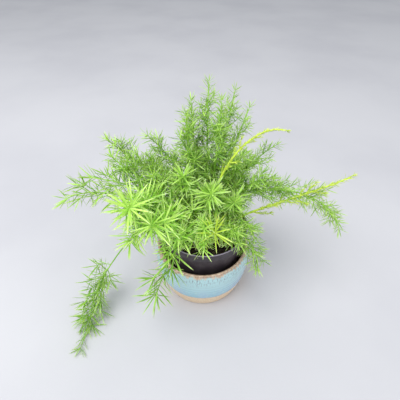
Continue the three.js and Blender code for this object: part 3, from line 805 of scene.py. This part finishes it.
def specks_group():
    """Scattered small specks: a mask of them and a fine uneven height."""
    name = "Specks"
    if name in bpy.data.node_groups:
        return bpy.data.node_groups[name]
    tree, values, end = new_group(name, {"Scale": 400.0, "Share": 0.2}, {"Mask": "Float", "Height": "Float"})
    where = place(tree)
    cells = add(tree, "ShaderNodeTexVoronoi", {"Vector": where, "Scale": values["Scale"]})
    chosen = add(tree, "ShaderNodeSeparateColor", {0: cells.outputs["Color"]}).outputs[0]
    chosen = maths(tree, "LESS_THAN", chosen, values["Share"])
    spot = span(tree, cells.outputs["Distance"], 0.22, 0.42, 1.0, 0.0)
    fine = clouds(tree, where, values["Scale"], 4.0)
    return give(tree, end, Mask=maths(tree, "MULTIPLY", chosen, spot), Height=fine)


# Materials

def foliage_material(name, deep, light, tip, wood):
    """Leaves and stems: a little light passes through them."""
    material, tree, shader = new_material(name)
    leaf = use(tree, leaf_colour_group(), Deep=deep, Light=light, Tip=tip, Wood=wood)
    connect(tree, shader, leaf["Height"], Base_Color=leaf["Color"], Roughness=leaf["Roughness"])
    shader.inputs["Subsurface Weight"].default_value = 0.4
    shader.inputs["Subsurface Radius"].default_value = (1.0, 1.0, 0.35)
    shader.inputs["Subsurface Scale"].default_value = 0.0012
    shader.inputs["Specular IOR Level"].default_value = 0.4
    return material


def glaze_layer(tree, pot, height, around, mottle, blush):
    """The glaze's colour, sky blue with specks and a brown comb at the rim, and the mask of its streaks."""
    below_rim = maths(tree, "SUBTRACT", COVER_HEIGHT, height)
    teeth = add(tree, "ShaderNodeTexVoronoi", {"Vector": around, "Scale": 34.0})
    drawn = add(tree, "ShaderNodeSeparateColor", {0: teeth.outputs["Color"]}).outputs
    run = maths(tree, "MULTIPLY_ADD", drawn[0], pot.rim_band * 0.7, pot.rim_band * 0.75)
    run = maths(tree, "MULTIPLY_ADD", teeth.outputs["Distance"], -pot.rim_band, run)
    streaks = span(tree, maths(tree, "SUBTRACT", run, below_rim), -1.2, 1.6)

    drift = clouds(tree, around, 1.6, 2.0)
    sky = mix(tree, span(tree, drift, 0.35, 0.65), pot.glaze_colour, pot.glaze_shade)
    sky = mix(tree, span(tree, height, pot.foot_band, COVER_HEIGHT * 0.8), sky, pot.glaze_pale)
    sky = mix(tree, span(tree, mottle, 0.42, 0.75, 0.0, 0.6), sky, pot.glaze_pale)
    colour = mix(tree, streaks, sky, blush)

    down = add(tree, "ShaderNodeCombineXYZ", {2: maths(tree, "MULTIPLY", height, 0.0035)}).outputs[0]
    wall = add(tree, "ShaderNodeVectorMath", {0: around, 1: down}).outputs[0]
    dashes = span(tree, clouds(tree, scaled(tree, wall, (60.0, 60.0, 48.0)), 1.0, 2.0), 0.5, 0.66)
    band = maths(tree, "MULTIPLY", span(tree, below_rim, 2.0, 8.0), span(tree, below_rim, 24.0, 10.0))
    dashes = maths(tree, "MULTIPLY", maths(tree, "MULTIPLY", dashes, band), 0.7)
    colour = mix(tree, dashes, colour, pot.speck_colour)
    comb = span(tree, drawn[1], 0.3, 0.7, 0.3, 0.95)
    lip = maths(tree, "MULTIPLY", span(tree, below_rim, 3.4, 0.4), comb)
    return mix(tree, lip, colour, pot.lip_colour), streaks


def clay_layer(tree, pot, where, height, around):
    """The bare clay's colour, and the mask of the glaze that ends above it in an uneven edge."""
    edge = maths(tree, "MULTIPLY_ADD", clouds(tree, around, 4.0, 2.0), 3.0, pot.foot_band - 1.5)
    above_foot = maths(tree, "SUBTRACT", height, edge)
    clay = mix(tree, span(tree, clouds(tree, where, 420.0, 5.0), 0.35, 0.7), pot.clay_colour, pot.clay_shade)
    halo = span(tree, above_foot, -2.2, -0.2)
    clay = mix(tree, maths(tree, "MULTIPLY", halo, 0.45), clay, pot.rim_colour)
    return clay, span(tree, above_foot, -0.35, 0.35)


def inside_mask(tree, height, level):
    """The stoneware pot's inside: all that lies within the middle of its wall."""
    from_belly = maths(tree, "ABSOLUTE", maths(tree, "SUBTRACT", height, COVER_BELLY_Z))
    from_belly = maths(tree, "POWER", from_belly, 2.0)
    narrowing = (COVER_FOOT_RADIUS - COVER_BELLY_RADIUS) / COVER_BELLY_Z**2
    middle = maths(tree, "MULTIPLY_ADD", from_belly, narrowing, COVER_BELLY_RADIUS - COVER_WALL / 2)
    return span(tree, maths(tree, "SUBTRACT", reach_mm(tree, level), middle), 0.5, -0.5)


def glaze_material(pot):
    """Thrown stoneware: blue glaze that breaks into clay-pink streaks at the rim, above a bare clay foot."""
    material, tree, shader = new_material("glazed_stoneware_finish")
    where = place(tree)
    height = height_mm(tree, where)
    level = scaled(tree, where, (1.0, 1.0, 0.0))
    around = add(tree, "ShaderNodeVectorMath", {0: level}, operation="NORMALIZE").outputs[0]
    mottle = clouds(tree, scaled(tree, where, (1.0, 1.0, 0.45)), 260.0, 4.0)
    blush = mix(tree, span(tree, mottle, 0.4, 0.62), pot.rim_colour, pot.rim_pale)
    glaze, streaks = glaze_layer(tree, pot, height, around, mottle, blush)
    clay, glazed = clay_layer(tree, pot, where, height, around)
    colour = mix(tree, inside_mask(tree, height, level), mix(tree, glazed, clay, glaze), blush)
    rough = maths(tree, "MULTIPLY_ADD", streaks, 0.18, span(tree, glazed, 0.0, 1.0, 0.78, 0.2))
    rings = add(tree, "ShaderNodeTexWave", {"Vector": where, "Scale": 45.0, "Distortion": 1.5, "Detail": 2.0},
                bands_direction="Z").outputs["Fac"]
    relief = maths(tree, "MULTIPLY_ADD", rings, 0.12, maths(tree, "MULTIPLY", mottle, 0.25))
    connect(tree, shader, relief, Base_Color=colour, Roughness=rough)
    shader.inputs["Coat Weight"].default_value = 0.25
    shader.inputs["Coat Roughness"].default_value = 0.08
    return material


def plastic_material(pot):
    """Satin moulded plastic with dust and fine scuffs, and a painted highlight along the outer edge of its
    lip.
    """
    material, tree, shader = new_material("dark_plastic_finish")
    where = place(tree)
    height = height_mm(tree, where)
    dust = clouds(tree, where, 55.0, 6.0)
    colour = mix(tree, span(tree, dust, 0.4, 0.8, 0.0, 0.5), pot.plastic_colour, pot.dust_colour)
    specks = use(tree, specks_group(), Scale=700.0, Share=0.12)
    colour = mix(tree, maths(tree, "MULTIPLY", specks["Mask"], 0.35), colour, pot.dust_colour)
    offset = (NURSERY_OFFSET * MM, 0, 0)
    centred = add(tree, "ShaderNodeVectorMath", {0: where, 1: offset}, operation="SUBTRACT").outputs[0]
    reach = reach_mm(tree, scaled(tree, centred, (1.0, 1.0, 0.0)))
    # A painted highlight: a pale line along the lip's outer top edge, broken up by the dust noise.
    edge = span(tree, height, NURSERY_RIM_Z - 1.0, NURSERY_RIM_Z - 0.3)
    outer = span(tree, reach, NURSERY_RIM_RADIUS - 1.5, NURSERY_RIM_RADIUS - 0.9)
    highlit = maths(tree, "MULTIPLY", maths(tree, "MULTIPLY", edge, outer), span(tree, dust, 0.3, 0.5, 0.45, 1.0))
    colour = mix(tree, highlit, colour, pot.lip_highlight_colour)
    scuffs = clouds(tree, scaled(tree, where, (1.0, 1.0, 9.0)), 130.0, 4.0)
    rough = span(tree, scuffs, 0.3, 0.75, 0.34, 0.6)
    relief = maths(tree, "MULTIPLY_ADD", scuffs, 0.05, maths(tree, "MULTIPLY", specks["Height"], 0.05))
    connect(tree, shader, relief, Base_Color=colour, Roughness=rough)
    return material


def soil_material(soil):
    """Damp potting mix: fine peat with bark, fibres and pale grit, each crumb its own tone."""
    material, tree, shader = new_material("potting_soil_finish")
    where = place(tree)
    lumps = clouds(tree, where, 240.0, 8.0)
    colour = mix(tree, span(tree, lumps, 0.35, 0.65), soil.dark_colour, soil.peat_colour)
    tone = attribute(tree, "tone")
    colour = mix(tree, span(tree, tone, 0.45, 0.9), colour, soil.bark_colour)
    colour = mix(tree, span(tree, tone, 0.93, 0.97), colour, soil.grit_colour)
    specks = use(tree, specks_group(), Scale=620.0, Share=0.1)
    colour = mix(tree, maths(tree, "MULTIPLY", specks["Mask"], 0.7), colour, soil.grit_colour)
    rough = span(tree, lumps, 0.3, 0.7, 0.75, 0.98)
    connect(tree, shader, maths(tree, "MULTIPLY", lumps, 1.2), Base_Color=colour, Roughness=rough)
    return material


def floor_material(stage):
    """A matt, slightly clouded floor."""
    material, tree, shader = new_material("floor_finish")
    where = place(tree)
    cloud = clouds(tree, where, 2.5, 4.0)
    colour = mix(tree, span(tree, cloud, 0.35, 0.7), stage.floor_colour, stage.floor_shade)
    grit = use(tree, specks_group(), Scale=300.0, Share=0.15)
    connect(tree, shader, maths(tree, "MULTIPLY", grit["Height"], 0.1), Base_Color=colour)
    shader.inputs["Roughness"].default_value = 0.8
    return material


# Settings

def colour_setting(name, code, description):
    return FloatVectorProperty(
        name=name, description=description, subtype="COLOR", size=3, min=0, max=1, default=srgb(code))


def length_setting(name, default, description):
    return FloatProperty(
        name=name, description=description, default=default * MM, min=0, unit="LENGTH", subtype="DISTANCE")


def share_setting(name, default, description):
    return FloatProperty(name=name, description=description, default=default, min=0, max=1, subtype="FACTOR")


def millimetre_setting(name, default, description):
    return FloatProperty(name=name, description=description + ", in millimetres", default=default, min=0)


def power_setting(name, default, description):
    return FloatProperty(name=name, description=description, default=default, min=0, unit="POWER")


class CoverPotSettings(bpy.types.PropertyGroup):
    """Sizes and colours of the glazed stoneware pot."""

    sides: IntProperty(name="Sides", description="Faces round the pot", default=192, min=24, max=512)
    foot_band: millimetre_setting("Bare foot", 26, "Height of the unglazed clay at the foot")
    rim_band: millimetre_setting("Rim streaks", 5.5, "How far the rim's streaks run down")
    glaze_lip: length_setting("Glaze thickness", 0.35, "How far the glaze stands proud of the bare clay")
    glaze_colour: colour_setting("Glaze", "96c8da", "Sky blue of the glaze")
    glaze_shade: colour_setting("Glaze drift", "a6c0e0", "Lavender that drifts into the glaze")
    glaze_pale: colour_setting("Thin glaze", "b4d8dc", "Pale green-blue where the glaze is thin")
    rim_colour: colour_setting("Rim", "c4a58c", "Clay tan of the rim")
    rim_pale: colour_setting("Rim streak", "dfcab4", "Paler streaks in the rim")
    lip_colour: colour_setting("Lip", "8c6c5a", "Brown of the rim's edge, where the glaze is thinnest")
    speck_colour: colour_setting("Specks", "7c7884", "Dark specks where the glaze breaks")
    clay_colour: colour_setting("Clay", "f0dabc", "Peach of the bare clay")
    clay_shade: colour_setting("Clay shade", "e2c49e", "Darker patches of the bare clay")


class NurseryPotSettings(bpy.types.PropertyGroup):
    """Sizes and colours of the plastic nursery pot."""

    sides: IntProperty(name="Sides", description="Faces round the pot", default=160, min=24, max=512)
    lip_round: length_setting("Lip rounding", 0.7, "Radius of the rounded edges of the lip")
    plastic_colour: colour_setting("Plastic", "383136", "Plum black of the plastic")
    dust_colour: colour_setting("Dust", "625a5f", "Dust and scuffs on the plastic")
    # Colour of the painted highlight along the lip's outer edge.
    lip_highlight_colour: colour_setting("Edge", "b3a8bd", "Pale worn edge of the lip")


class SoilSettings(bpy.types.PropertyGroup):
    """Sizes and colours of the potting soil."""

    crumbs: IntProperty(name="Crumbs", description="Loose crumbs and bark bits", default=620, min=0)
    crumb_size: length_setting("Crumb size", 2.2, "Width of a middling crumb")
    dark_colour: colour_setting("Wet soil", "17110d", "Darkest soil")
    peat_colour: colour_setting("Peat", "3d2e22", "Brown of the peat")
    bark_colour: colour_setting("Bark", "6e5138", "Brown of the bark bits")
    grit_colour: colour_setting("Grit", "a39c86", "Pale grit and fibres")


class FoliageSettings(bpy.types.PropertyGroup):
    """Sizes and colours of the stems and their leaves."""

    leaf_gap: length_setting("Leaf gap", 3.1, "Distance between the whorls of leaves along a shoot")
    leaf_width: length_setting("Leaf width", 1.55, "Width of a full-grown leaf")
    whorl: IntProperty(name="Leaves a whorl", description="Leaves at each place on a shoot", default=3, min=1)
    side_length: share_setting("Shorter twigs", 0.75, "Length of the twigs between the long ones, as a share")
    deep: colour_setting("Deep green", "679c28", "Shaded green of the leaves")
    light: colour_setting("Leaf green", "aede5c", "Lit green of the leaves")
    tip: colour_setting("Tip green", "dcf4a4", "Pale green of the leaf tips")
    # The bright stems' colours are a lighter copy of the greens: painted light on the lit front and front-left
    # stems.
    bright_deep: colour_setting("Lighter deep green", "86c238", "Deeper green of the fresh stems")
    bright_light: colour_setting("Lighter green", "c4f070", "Lit green of the fresh stems")
    bright_tip: colour_setting("Lighter tip", "e6fcae", "Pale tips of the fresh stems")
    young_deep: colour_setting("Young deep yellow", "a8cc34", "Deeper yellow-green of the young shoots")
    young_light: colour_setting("Young yellow", "d8ec58", "Lit yellow-green of the young shoots")
    young_tip: colour_setting("Young tip", "eef8a4", "Pale tips of the young shoots")
    wood: colour_setting("Woody stem", "9a8454", "Tan of the bare, woody stretches")


class StageSettings(bpy.types.PropertyGroup):
    """The floor, the lamps and the camera."""

    floor_size: length_setting("Floor size", 16000, "Width of the floor")
    key_power: power_setting("Key lamp", 40, "Power of the large soft lamp")
    fill_power: power_setting("Fill lamp", 8, "Power of the weaker lamp")
    sky: FloatProperty(name="Sky", description="Strength of the even light all round", default=0.72, min=0)
    lens: FloatProperty(name="Lens", description="Focal length in millimetres", default=28.8, min=1)
    floor_colour: colour_setting("Floor", "c4c4c8", "Pale floor")
    floor_shade: colour_setting("Floor shade", "bcbcc1", "Slightly darker floor")


class FernSettings(bpy.types.PropertyGroup):
    """All settings of the potted fern."""

    cover_pot: PointerProperty(type=CoverPotSettings)
    nursery_pot: PointerProperty(type=NurseryPotSettings)
    soil: PointerProperty(type=SoilSettings)
    foliage: PointerProperty(type=FoliageSettings)
    stage: PointerProperty(type=StageSettings)


# Pieces

def seat(piece, slot, *nodes):
    """Fixes a piece to the part's root body, in place of its solids, which it hides; its slot is not used."""
    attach(piece, "root")
    if nodes:
        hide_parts(*nodes)


def cover_radius(z):
    """The stoneware pot's outer radius at a height: widest at its belly."""
    above = np.greater(z, COVER_BELLY_Z)
    edge = np.where(above, COVER_RIM_RADIUS, COVER_FOOT_RADIUS)
    reach = np.where(above, COVER_HEIGHT - COVER_BELLY_Z, COVER_BELLY_Z)
    return COVER_BELLY_RADIUS + (edge - COVER_BELLY_RADIUS) * ((z - COVER_BELLY_Z) / reach)**2


def cover_profile():
    """Half the stoneware pot's outline, from the middle of its underside to the middle of its inner floor."""
    shoulder, half_wall = COVER_HEIGHT - COVER_LIP_DEPTH, COVER_WALL / 2
    foot, floor = COVER_FOOT_RADIUS, COVER_FLOOR
    low = np.linspace(COVER_FOOT_EDGE, COVER_FINE_Z, COVER_ROWS[0])
    high = np.linspace(COVER_FINE_Z + 1, shoulder, COVER_ROWS[1])
    wall = [(cover_radius(z), z) for z in (*low, *high)]
    lip_low = COVER_HEIGHT - COVER_LIP_ROUND
    arc = [(COVER_RIM_RADIUS - half_wall + half_wall * math.cos(a), lip_low + COVER_LIP_ROUND * math.sin(a))
           for a in np.linspace(COVER_LIP_START, math.pi - COVER_LIP_START, COVER_LIP_ROWS)]
    inside = [(cover_radius(z) - COVER_WALL, z) for z in np.linspace(shoulder, floor + 3, COVER_INNER_ROWS)]
    outer_foot = rounded((foot - 6, 0), (foot, 0), wall[0], COVER_FOOT_ROUND)
    hollow_edge = (foot - COVER_FOOT_RING, COVER_FOOT_HOLLOW)
    underside = [(0, COVER_FOOT_HOLLOW), hollow_edge, *rounded(hollow_edge, (foot - 9.5, 0), (foot - 4, 0), 1)]
    corner = cover_radius(floor) - COVER_WALL
    inner_floor = rounded(inside[-1], (corner, floor), (corner - 6, floor), 1.6)
    return [*underside, *outer_foot, *wall, *arc, *inside, *inner_floor, (corner - 12, floor), (0, floor)]


class FERN_OT_cover_pot(bpy.types.Operator):
    """Throw the glazed stoneware pot"""

    bl_idname = "fern.cover_pot"
    bl_label = "Glazed stoneware pot"

    def execute(self, context):
        pot = context.scene.fern.cover_pot
        lip = pot.glaze_lip / MM

        def ripple(angle, radius, height):
            outside = radius > cover_radius(np.maximum(height, 0)) - COVER_WALL / 2
            edge = pot.foot_band + GLAZE_WAVE * np.sin(3 * angle + 0.6) * np.sin(7 * angle)
            glaze = np.clip((height - edge) / GLAZE_STEP, 0, 1)
            glaze *= np.clip((COVER_HEIGHT - height) / GLAZE_THINS, 0, 1)
            rings = THROWING_RINGS * np.sin(height * THROWING_PITCH + 0.8 * np.sin(angle))
            rings *= np.clip(height / THROWING_FROM, 0, 1)
            relief = glaze * lip - GLAZE_INSET + rings
            return radius + np.where(outside & (height > COVER_FOOT_PLAIN), relief, 0), height

        vertices, faces = turned_shape(cover_profile(), pot.sides, ripple)
        piece = new_piece("glazed_stoneware_pot", [(vertices, faces, {})], glaze_material(pot), sharp=50)
        seat(piece, "glazed_stoneware", "cover_pot")
        return {"FINISHED"}


def nursery_wall(z):
    """The nursery pot's outer radius at a height, below its lip."""
    share = (z - NURSERY_BASE_Z) / (NURSERY_RIM_Z - NURSERY_LIP - NURSERY_BASE_Z)
    return NURSERY_BASE_RADIUS + (NURSERY_SHOULDER_RADIUS - NURSERY_BASE_RADIUS) * min(share, 1)


def nursery_profile(edge):
    """Half the nursery pot's outline, from the middle of its underside to the middle of its inner floor."""
    base, top, lip_base = NURSERY_BASE_Z, NURSERY_RIM_Z, NURSERY_RIM_Z - NURSERY_LIP
    shoulder, rim, wall = NURSERY_SHOULDER_RADIUS, NURSERY_RIM_RADIUS, NURSERY_WALL
    heights = np.linspace(base + 4, lip_base - 1, 24)
    outer = [(nursery_wall(z), z) for z in heights]
    inner = [(nursery_wall(z) - wall, z) for z in heights[::-1]]
    floor_edge = NURSERY_BASE_RADIUS - wall
    return [
        (0, base), (NURSERY_BASE_RADIUS - 8, base),
        *rounded((NURSERY_BASE_RADIUS - 8, base), (NURSERY_BASE_RADIUS, base), outer[0], 2),
        *outer,
        *rounded(outer[-1], (shoulder, lip_base), (rim, lip_base), 0.5, 2),
        *rounded((shoulder, lip_base), (rim, lip_base), (rim, top), edge),
        *rounded((rim, lip_base), (rim, top), (rim - wall * 2, top), edge),
        *rounded((rim, top), (rim - wall - 0.4, top), (rim - wall - 0.4, lip_base), edge, 3),
        (rim - wall - 0.6, lip_base + 3), (shoulder - wall + 0.4, lip_base),
        *inner,
        *rounded(inner[-1], (floor_edge, base + wall), (floor_edge - 6, base + wall), 1.5),
        (floor_edge - 10, base + wall), (0, base + wall),
    ]


class FERN_OT_nursery_pot(bpy.types.Operator):
    """Mould the dark plastic nursery pot, with the drainage holes in its base"""

    bl_idname = "fern.nursery_pot"
    bl_label = "Nursery pot"

    def execute(self, context):
        pot = context.scene.fern.nursery_pot
        vertices, faces = turned_shape(nursery_profile(pot.lip_round / MM), pot.sides)
        vertices += (NURSERY_OFFSET, 0, 0)
        piece = new_piece("nursery_pot_shell", [(vertices, faces, {})], plastic_material(pot))
        self.drill(context, piece)
        seat(piece, "dark_plastic", "nursery_pot")
        return {"FINISHED"}

    def drill(self, context, piece):
        """Cuts the drainage holes."""
        low, high = NURSERY_BASE_Z - 2, NURSERY_BASE_Z + 6
        pin = [(0, low), (DRAIN_HOLE_RADIUS, low), (DRAIN_HOLE_RADIUS, high), (0, high)]
        pins = []
        for i in range(DRAIN_HOLES):
            turn = 2 * math.pi * i / DRAIN_HOLES
            vertices, faces = turned_shape(pin, DRAIN_PIN_SIDES)
            x, y = DRAIN_RING_RADIUS * math.cos(turn), DRAIN_RING_RADIUS * math.sin(turn)
            vertices += (NURSERY_OFFSET + x, y, 0)
            pins.append((vertices, faces, {}))
        cutter = new_piece("drain_pins", pins)
        cut = piece.modifiers.new("drain holes", "BOOLEAN")
        cut.operation, cut.object, cut.solver = "DIFFERENCE", cutter, "EXACT"
        shape = bpy.data.meshes.new_from_object(piece.evaluated_get(context.evaluated_depsgraph_get()))
        if len(shape.vertices) <= len(piece.data.vertices):
            raise RuntimeError("the drainage holes were not cut")
        piece.modifiers.clear()
        piece.data = shape
        shape.set_sharp_from_angle(angle=math.radians(40))
        bpy.data.objects.remove(cutter)


def soil_height(x, y):
    """The soil's surface, from the middle of the nursery pot."""
    mound = SOIL_MOUND * (1 - (x * x + y * y) / NURSERY_SHOULDER_RADIUS**2)
    lumps = SOIL_LUMP * math.sin(x * SOIL_WAVE) * math.cos(y * SOIL_WAVE)
    rough = 1.1 * noise.noise(Vector((x, y, 0)) * 0.35) + 0.5 * noise.noise(Vector((x, y, 9)) * 1.1)
    return SOIL_Z + mound + lumps + rough


def crumb(rng, size):
    """A small uneven lump, as vertices and faces round its own middle."""
    golden = (1 + math.sqrt(5)) / 2
    first = [(0, a, b * golden) for a in (-1, 1) for b in (-1, 1)]
    corners = np.array([corner[turn:] + corner[:turn] for turn in range(3) for corner in first])
    near = np.isclose(np.linalg.norm(corners[:, None] - corners[None], axis=2), 2)
    faces = []
    for i, j, k in itertools.combinations(range(len(corners)), 3):
        if near[i, j] and near[j, k] and near[i, k]:
            normal = np.cross(corners[j] - corners[i], corners[k] - corners[i])
            faces.append((i, j, k) if normal @ corners[i] > 0 else (i, k, j))
    shape = np.array([rng.uniform(*sizes) for sizes in CRUMB_SHAPE])
    turn, _ = np.linalg.qr(rng.normal(size=(3, 3)))
    if np.linalg.det(turn) < 0:
        turn[:, 0] *= -1
    uneven = rng.uniform(*CRUMB_UNEVEN, (len(corners), 1))
    return (corners / golden * uneven * shape * size / 2) @ turn.T, faces


class FERN_OT_soil(bpy.types.Operator):
    """Fill the nursery pot with potting soil and strew crumbs of bark on it"""

    bl_idname = "fern.soil"
    bl_label = "Potting soil"

    def execute(self, context):
        soil = context.scene.fern.soil
        material = soil_material(soil)
        edge = nursery_wall(SOIL_Z) - NURSERY_WALL - REST_GAP
        self.fill(edge, material)
        self.strew(edge, soil, material)
        return {"FINISHED"}

    def fill(self, edge, material):
        """Makes the soil itself, with a rough and gently mounded surface."""
        floor = NURSERY_BASE_Z + NURSERY_WALL + REST_GAP
        heights = np.linspace(floor + 3, SOIL_Z - 2, 12)
        sides = [(nursery_wall(z) - NURSERY_WALL - REST_GAP, z) for z in heights]
        profile = [(0, floor), (NURSERY_BASE_RADIUS - 6, floor), *sides]
        profile += [(r, SOIL_Z) for r in np.linspace(edge - 0.4, 1, SOIL_RINGS)] + [(0, SOIL_Z)]
        vertices, faces = turned_shape(profile, SOIL_SIDES)
        for vertex in vertices:
            if vertex[2] >= SOIL_Z - 0.01:
                vertex[2] = soil_height(vertex[0], vertex[1])
        vertices += (NURSERY_OFFSET, 0, 0)
        bed = new_piece("soil_bed", [(vertices, faces, {"tone": np.full(len(vertices), 0.2)})], material)
        seat(bed, "soil", "potting_soil")

    def strew(self, edge, soil, material):
        """Strews loose crumbs and bark bits over the soil."""
        rng, parts = np.random.default_rng(SOIL_SEED), []
        for _ in range(soil.crumbs):
            far, turn = (edge - 3) * math.sqrt(rng.random()), rng.uniform(0, 2 * math.pi)
            x, y = far * math.cos(turn), far * math.sin(turn)
            size = soil.crumb_size / MM * rng.lognormal(0, CRUMB_SPREAD)
            points, triangles = crumb(rng, min(size, CRUMB_MOST))
            points += (x + NURSERY_OFFSET, y, soil_height(x, y) + CRUMB_LIFT)
            parts.append((points, triangles, {"tone": np.full(len(points), rng.random())}))
        seat(new_piece("soil_crumbs", parts, material), "soil")


def leafy_stem(plant, n, foliage, material, slot):
    """Makes one stem with its twigs and leaves, in place of its solid."""
    stem, rng = plant["stem"], np.random.default_rng(FIRST_STEM_SEED + n)
    habit = dict(HABITS[stem.get("habit", "leafy")], whorl=foliage.whorl)
    habit["gap"] = foliage.leaf_gap / MM * habit["crowd"]
    habit["needle"] = stem["needle"] * habit["long"]
    leaves = Leaves(rng, foliage.leaf_width / MM * habit["slim"], habit["light"])

    line = stem_path(stem, STEM_DRAWN)
    plant["line"] = line
    share = np.linspace(0, 1, len(line))
    radii = habit["girth"] * (STEM_GIRTH[0] + (STEM_GIRTH[1] - STEM_GIRTH[0]) * share)
    points, faces, along = tube(line, radii, STEM_SIDES)
    woody = np.clip((stem["bare"] * WOODY_END - along) / WOODY_FADE, 0, 1) * WOODY_MOST
    # The stem's tone is scaled by its habit's light: painted light and shade.
    tone = np.full(len(along), STEM_TONE * habit["light"])
    parts = [(points, faces, {"tone": tone, "along": along * STEM_PALE, "woody": woody})]
    first = stem["bare"] + (1 - stem["bare"]) * habit["start"] / 2
    leaves.clothe(line, first, dict(habit, short_tip=habit.get("short_end", habit["short_tip"])))

    twig_habit = dict(habit, tuft=round(habit["tuft"] * TWIG_TUFT))
    for twig in plant["twigs"] + twigs_between(plant, rng, foliage.side_length, habit["between"]):
        twig_line = shoot_line(plant, twig)
        if not all(in_the_open(point, SHOOT_AIR) for point in twig_line):
            continue
        radii = habit["girth"] * np.linspace(*TWIG_GIRTH, len(twig_line))
        points, faces, along = tube(twig_line, radii, TWIG_SIDES)
        # A twig's tone is random, scaled by its habit's light: painted light and shade.
        tone = np.full(len(along), rng.random() * habit["light"])
        values = {"tone": tone, "along": along * TWIG_PALE, "woody": np.zeros(len(along))}
        parts.append((points, faces, values))
        leaves.clothe(twig_line, habit["start"], twig_habit)
    parts.append(leaves.mesh())
    piece = new_piece("leafy_" + stem["name"], parts, material, sharp=66)
    seat(piece, slot, "stem_" + stem["name"])


def dress_stems(context, kinds):
    """Makes the leafy stems of the kinds given as {kind: (material, slot)}."""
    foliage = context.scene.fern.foliage
    for n, plant in enumerate(grow()):
        kind = plant["stem"].get("kind", "green")
        if kind in kinds:
            leafy_stem(plant, n, foliage, *kinds[kind])


class FERN_OT_leafy_stems(bpy.types.Operator):
    """Grow the leafy stems, with their twigs and narrow leaves"""

    bl_idname = "fern.leafy_stems"
    bl_label = "Leafy stems"

    def execute(self, context):
        f = context.scene.fern.foliage
        green = foliage_material("foliage_finish", f.deep, f.light, f.tip, f.wood)
        # The bright material is the green one made lighter: painted light on the lit front stems.
        lit = (f.bright_deep, f.bright_light, f.bright_tip, f.wood)
        bright = foliage_material("bright_foliage_finish", *lit)
        dress_stems(context, {"green": (green, "foliage"), "bright": (bright, "bright_foliage")})
        return {"FINISHED"}


class FERN_OT_young_shoots(bpy.types.Operator):
    """Grow the yellow-green young shoots"""

    bl_idname = "fern.young_shoots"
    bl_label = "Young shoots"

    def execute(self, context):
        f = context.scene.fern.foliage
        yellow = (f.young_deep, f.young_light, f.young_tip, f.young_deep)
        young = foliage_material("young_foliage_finish", *yellow)
        dress_stems(context, {"young": (young, "young_foliage")})
        return {"FINISHED"}


class FERN_OT_stage(bpy.types.Operator):
    """Lay the floor, and set the lamps and the camera"""

    bl_idname = "fern.stage"
    bl_label = "Floor, lamps and camera"

    def execute(self, context):
        stage, scene = context.scene.fern.stage, context.scene
        half = stage.floor_size / MM / 2
        corners = [(-half, -half, 0), (half, -half, 0), (half, half, 0), (-half, half, 0)]
        floor = new_piece("floor", [(corners, [(0, 1, 2, 3)], {})], floor_material(stage))
        self.lamp(scene, "key_lamp", stage.key_power, KEY_WIDTH, KEY_PLACE)
        self.lamp(scene, "fill_lamp", stage.fill_power, FILL_WIDTH, FILL_PLACE)

        world = bpy.data.worlds.new("studio")
        world.use_nodes = True
        world.node_tree.nodes["Background"].inputs["Color"].default_value = SKY_COLOUR
        world.node_tree.nodes["Background"].inputs["Strength"].default_value = stage.sky
        scene.world = world
        scene.view_settings.view_transform = "Standard"

        camera = bpy.data.objects.new("camera", bpy.data.cameras.new("camera"))
        camera.data.lens = stage.lens
        camera.data.sensor_width = SENSOR_WIDTH
        camera.location = CAMERA_PLACE
        camera.rotation_euler = (CAMERA_TILT, 0, 0)
        scene.collection.objects.link(camera)
        scene.camera = camera
        return {"FINISHED"}

    def lamp(self, scene, name, power, size, where):
        """Hangs a square soft lamp that faces the plant."""
        data = bpy.data.lights.new(name, "AREA")
        data.energy, data.size = power, size
        lamp = bpy.data.objects.new(name, data)
        lamp.location = where
        lamp.rotation_euler = (Vector(LAMPS_AIM) - lamp.location).to_track_quat("-Z", "Y").to_euler()
        scene.collection.objects.link(lamp)


class FERN_PT_sidebar(bpy.types.Panel):
    """The potted fern's pieces and their settings"""

    bl_idname = "FERN_PT_sidebar"
    bl_label = "Potted fern"
    bl_space_type = "VIEW_3D"
    bl_region_type = "UI"
    bl_category = "Fern"

    def draw(self, context):
        fern = context.scene.fern
        for operators, settings in (
            ((FERN_OT_cover_pot,), fern.cover_pot),
            ((FERN_OT_nursery_pot,), fern.nursery_pot),
            ((FERN_OT_soil,), fern.soil),
            ((FERN_OT_leafy_stems, FERN_OT_young_shoots), fern.foliage),
            ((FERN_OT_stage,), fern.stage),
        ):
            box = self.layout.box()
            for operator in operators:
                box.operator(operator.bl_idname)
            for name in settings.bl_rna.properties.keys():
                if name not in ("rna_type", "name"):
                    box.prop(settings, name)


CLASSES = (
    CoverPotSettings, NurseryPotSettings, SoilSettings, FoliageSettings, StageSettings, FernSettings,
    FERN_OT_cover_pot, FERN_OT_nursery_pot, FERN_OT_soil, FERN_OT_leafy_stems, FERN_OT_young_shoots,
    FERN_OT_stage, FERN_PT_sidebar,
)


def register():
    for cls in CLASSES:
        bpy.utils.register_class(cls)
    bpy.types.Scene.fern = PointerProperty(type=FernSettings)


def unregister():
    del bpy.types.Scene.fern
    for cls in reversed(CLASSES):
        bpy.utils.unregister_class(cls)


def main():
    register()
    bpy.ops.fern.stage()
    bpy.ops.fern.cover_pot()
    bpy.ops.fern.nursery_pot()
    bpy.ops.fern.soil()
    bpy.ops.fern.leafy_stems()
    bpy.ops.fern.young_shoots()


if __name__ == "__main__":
    main()
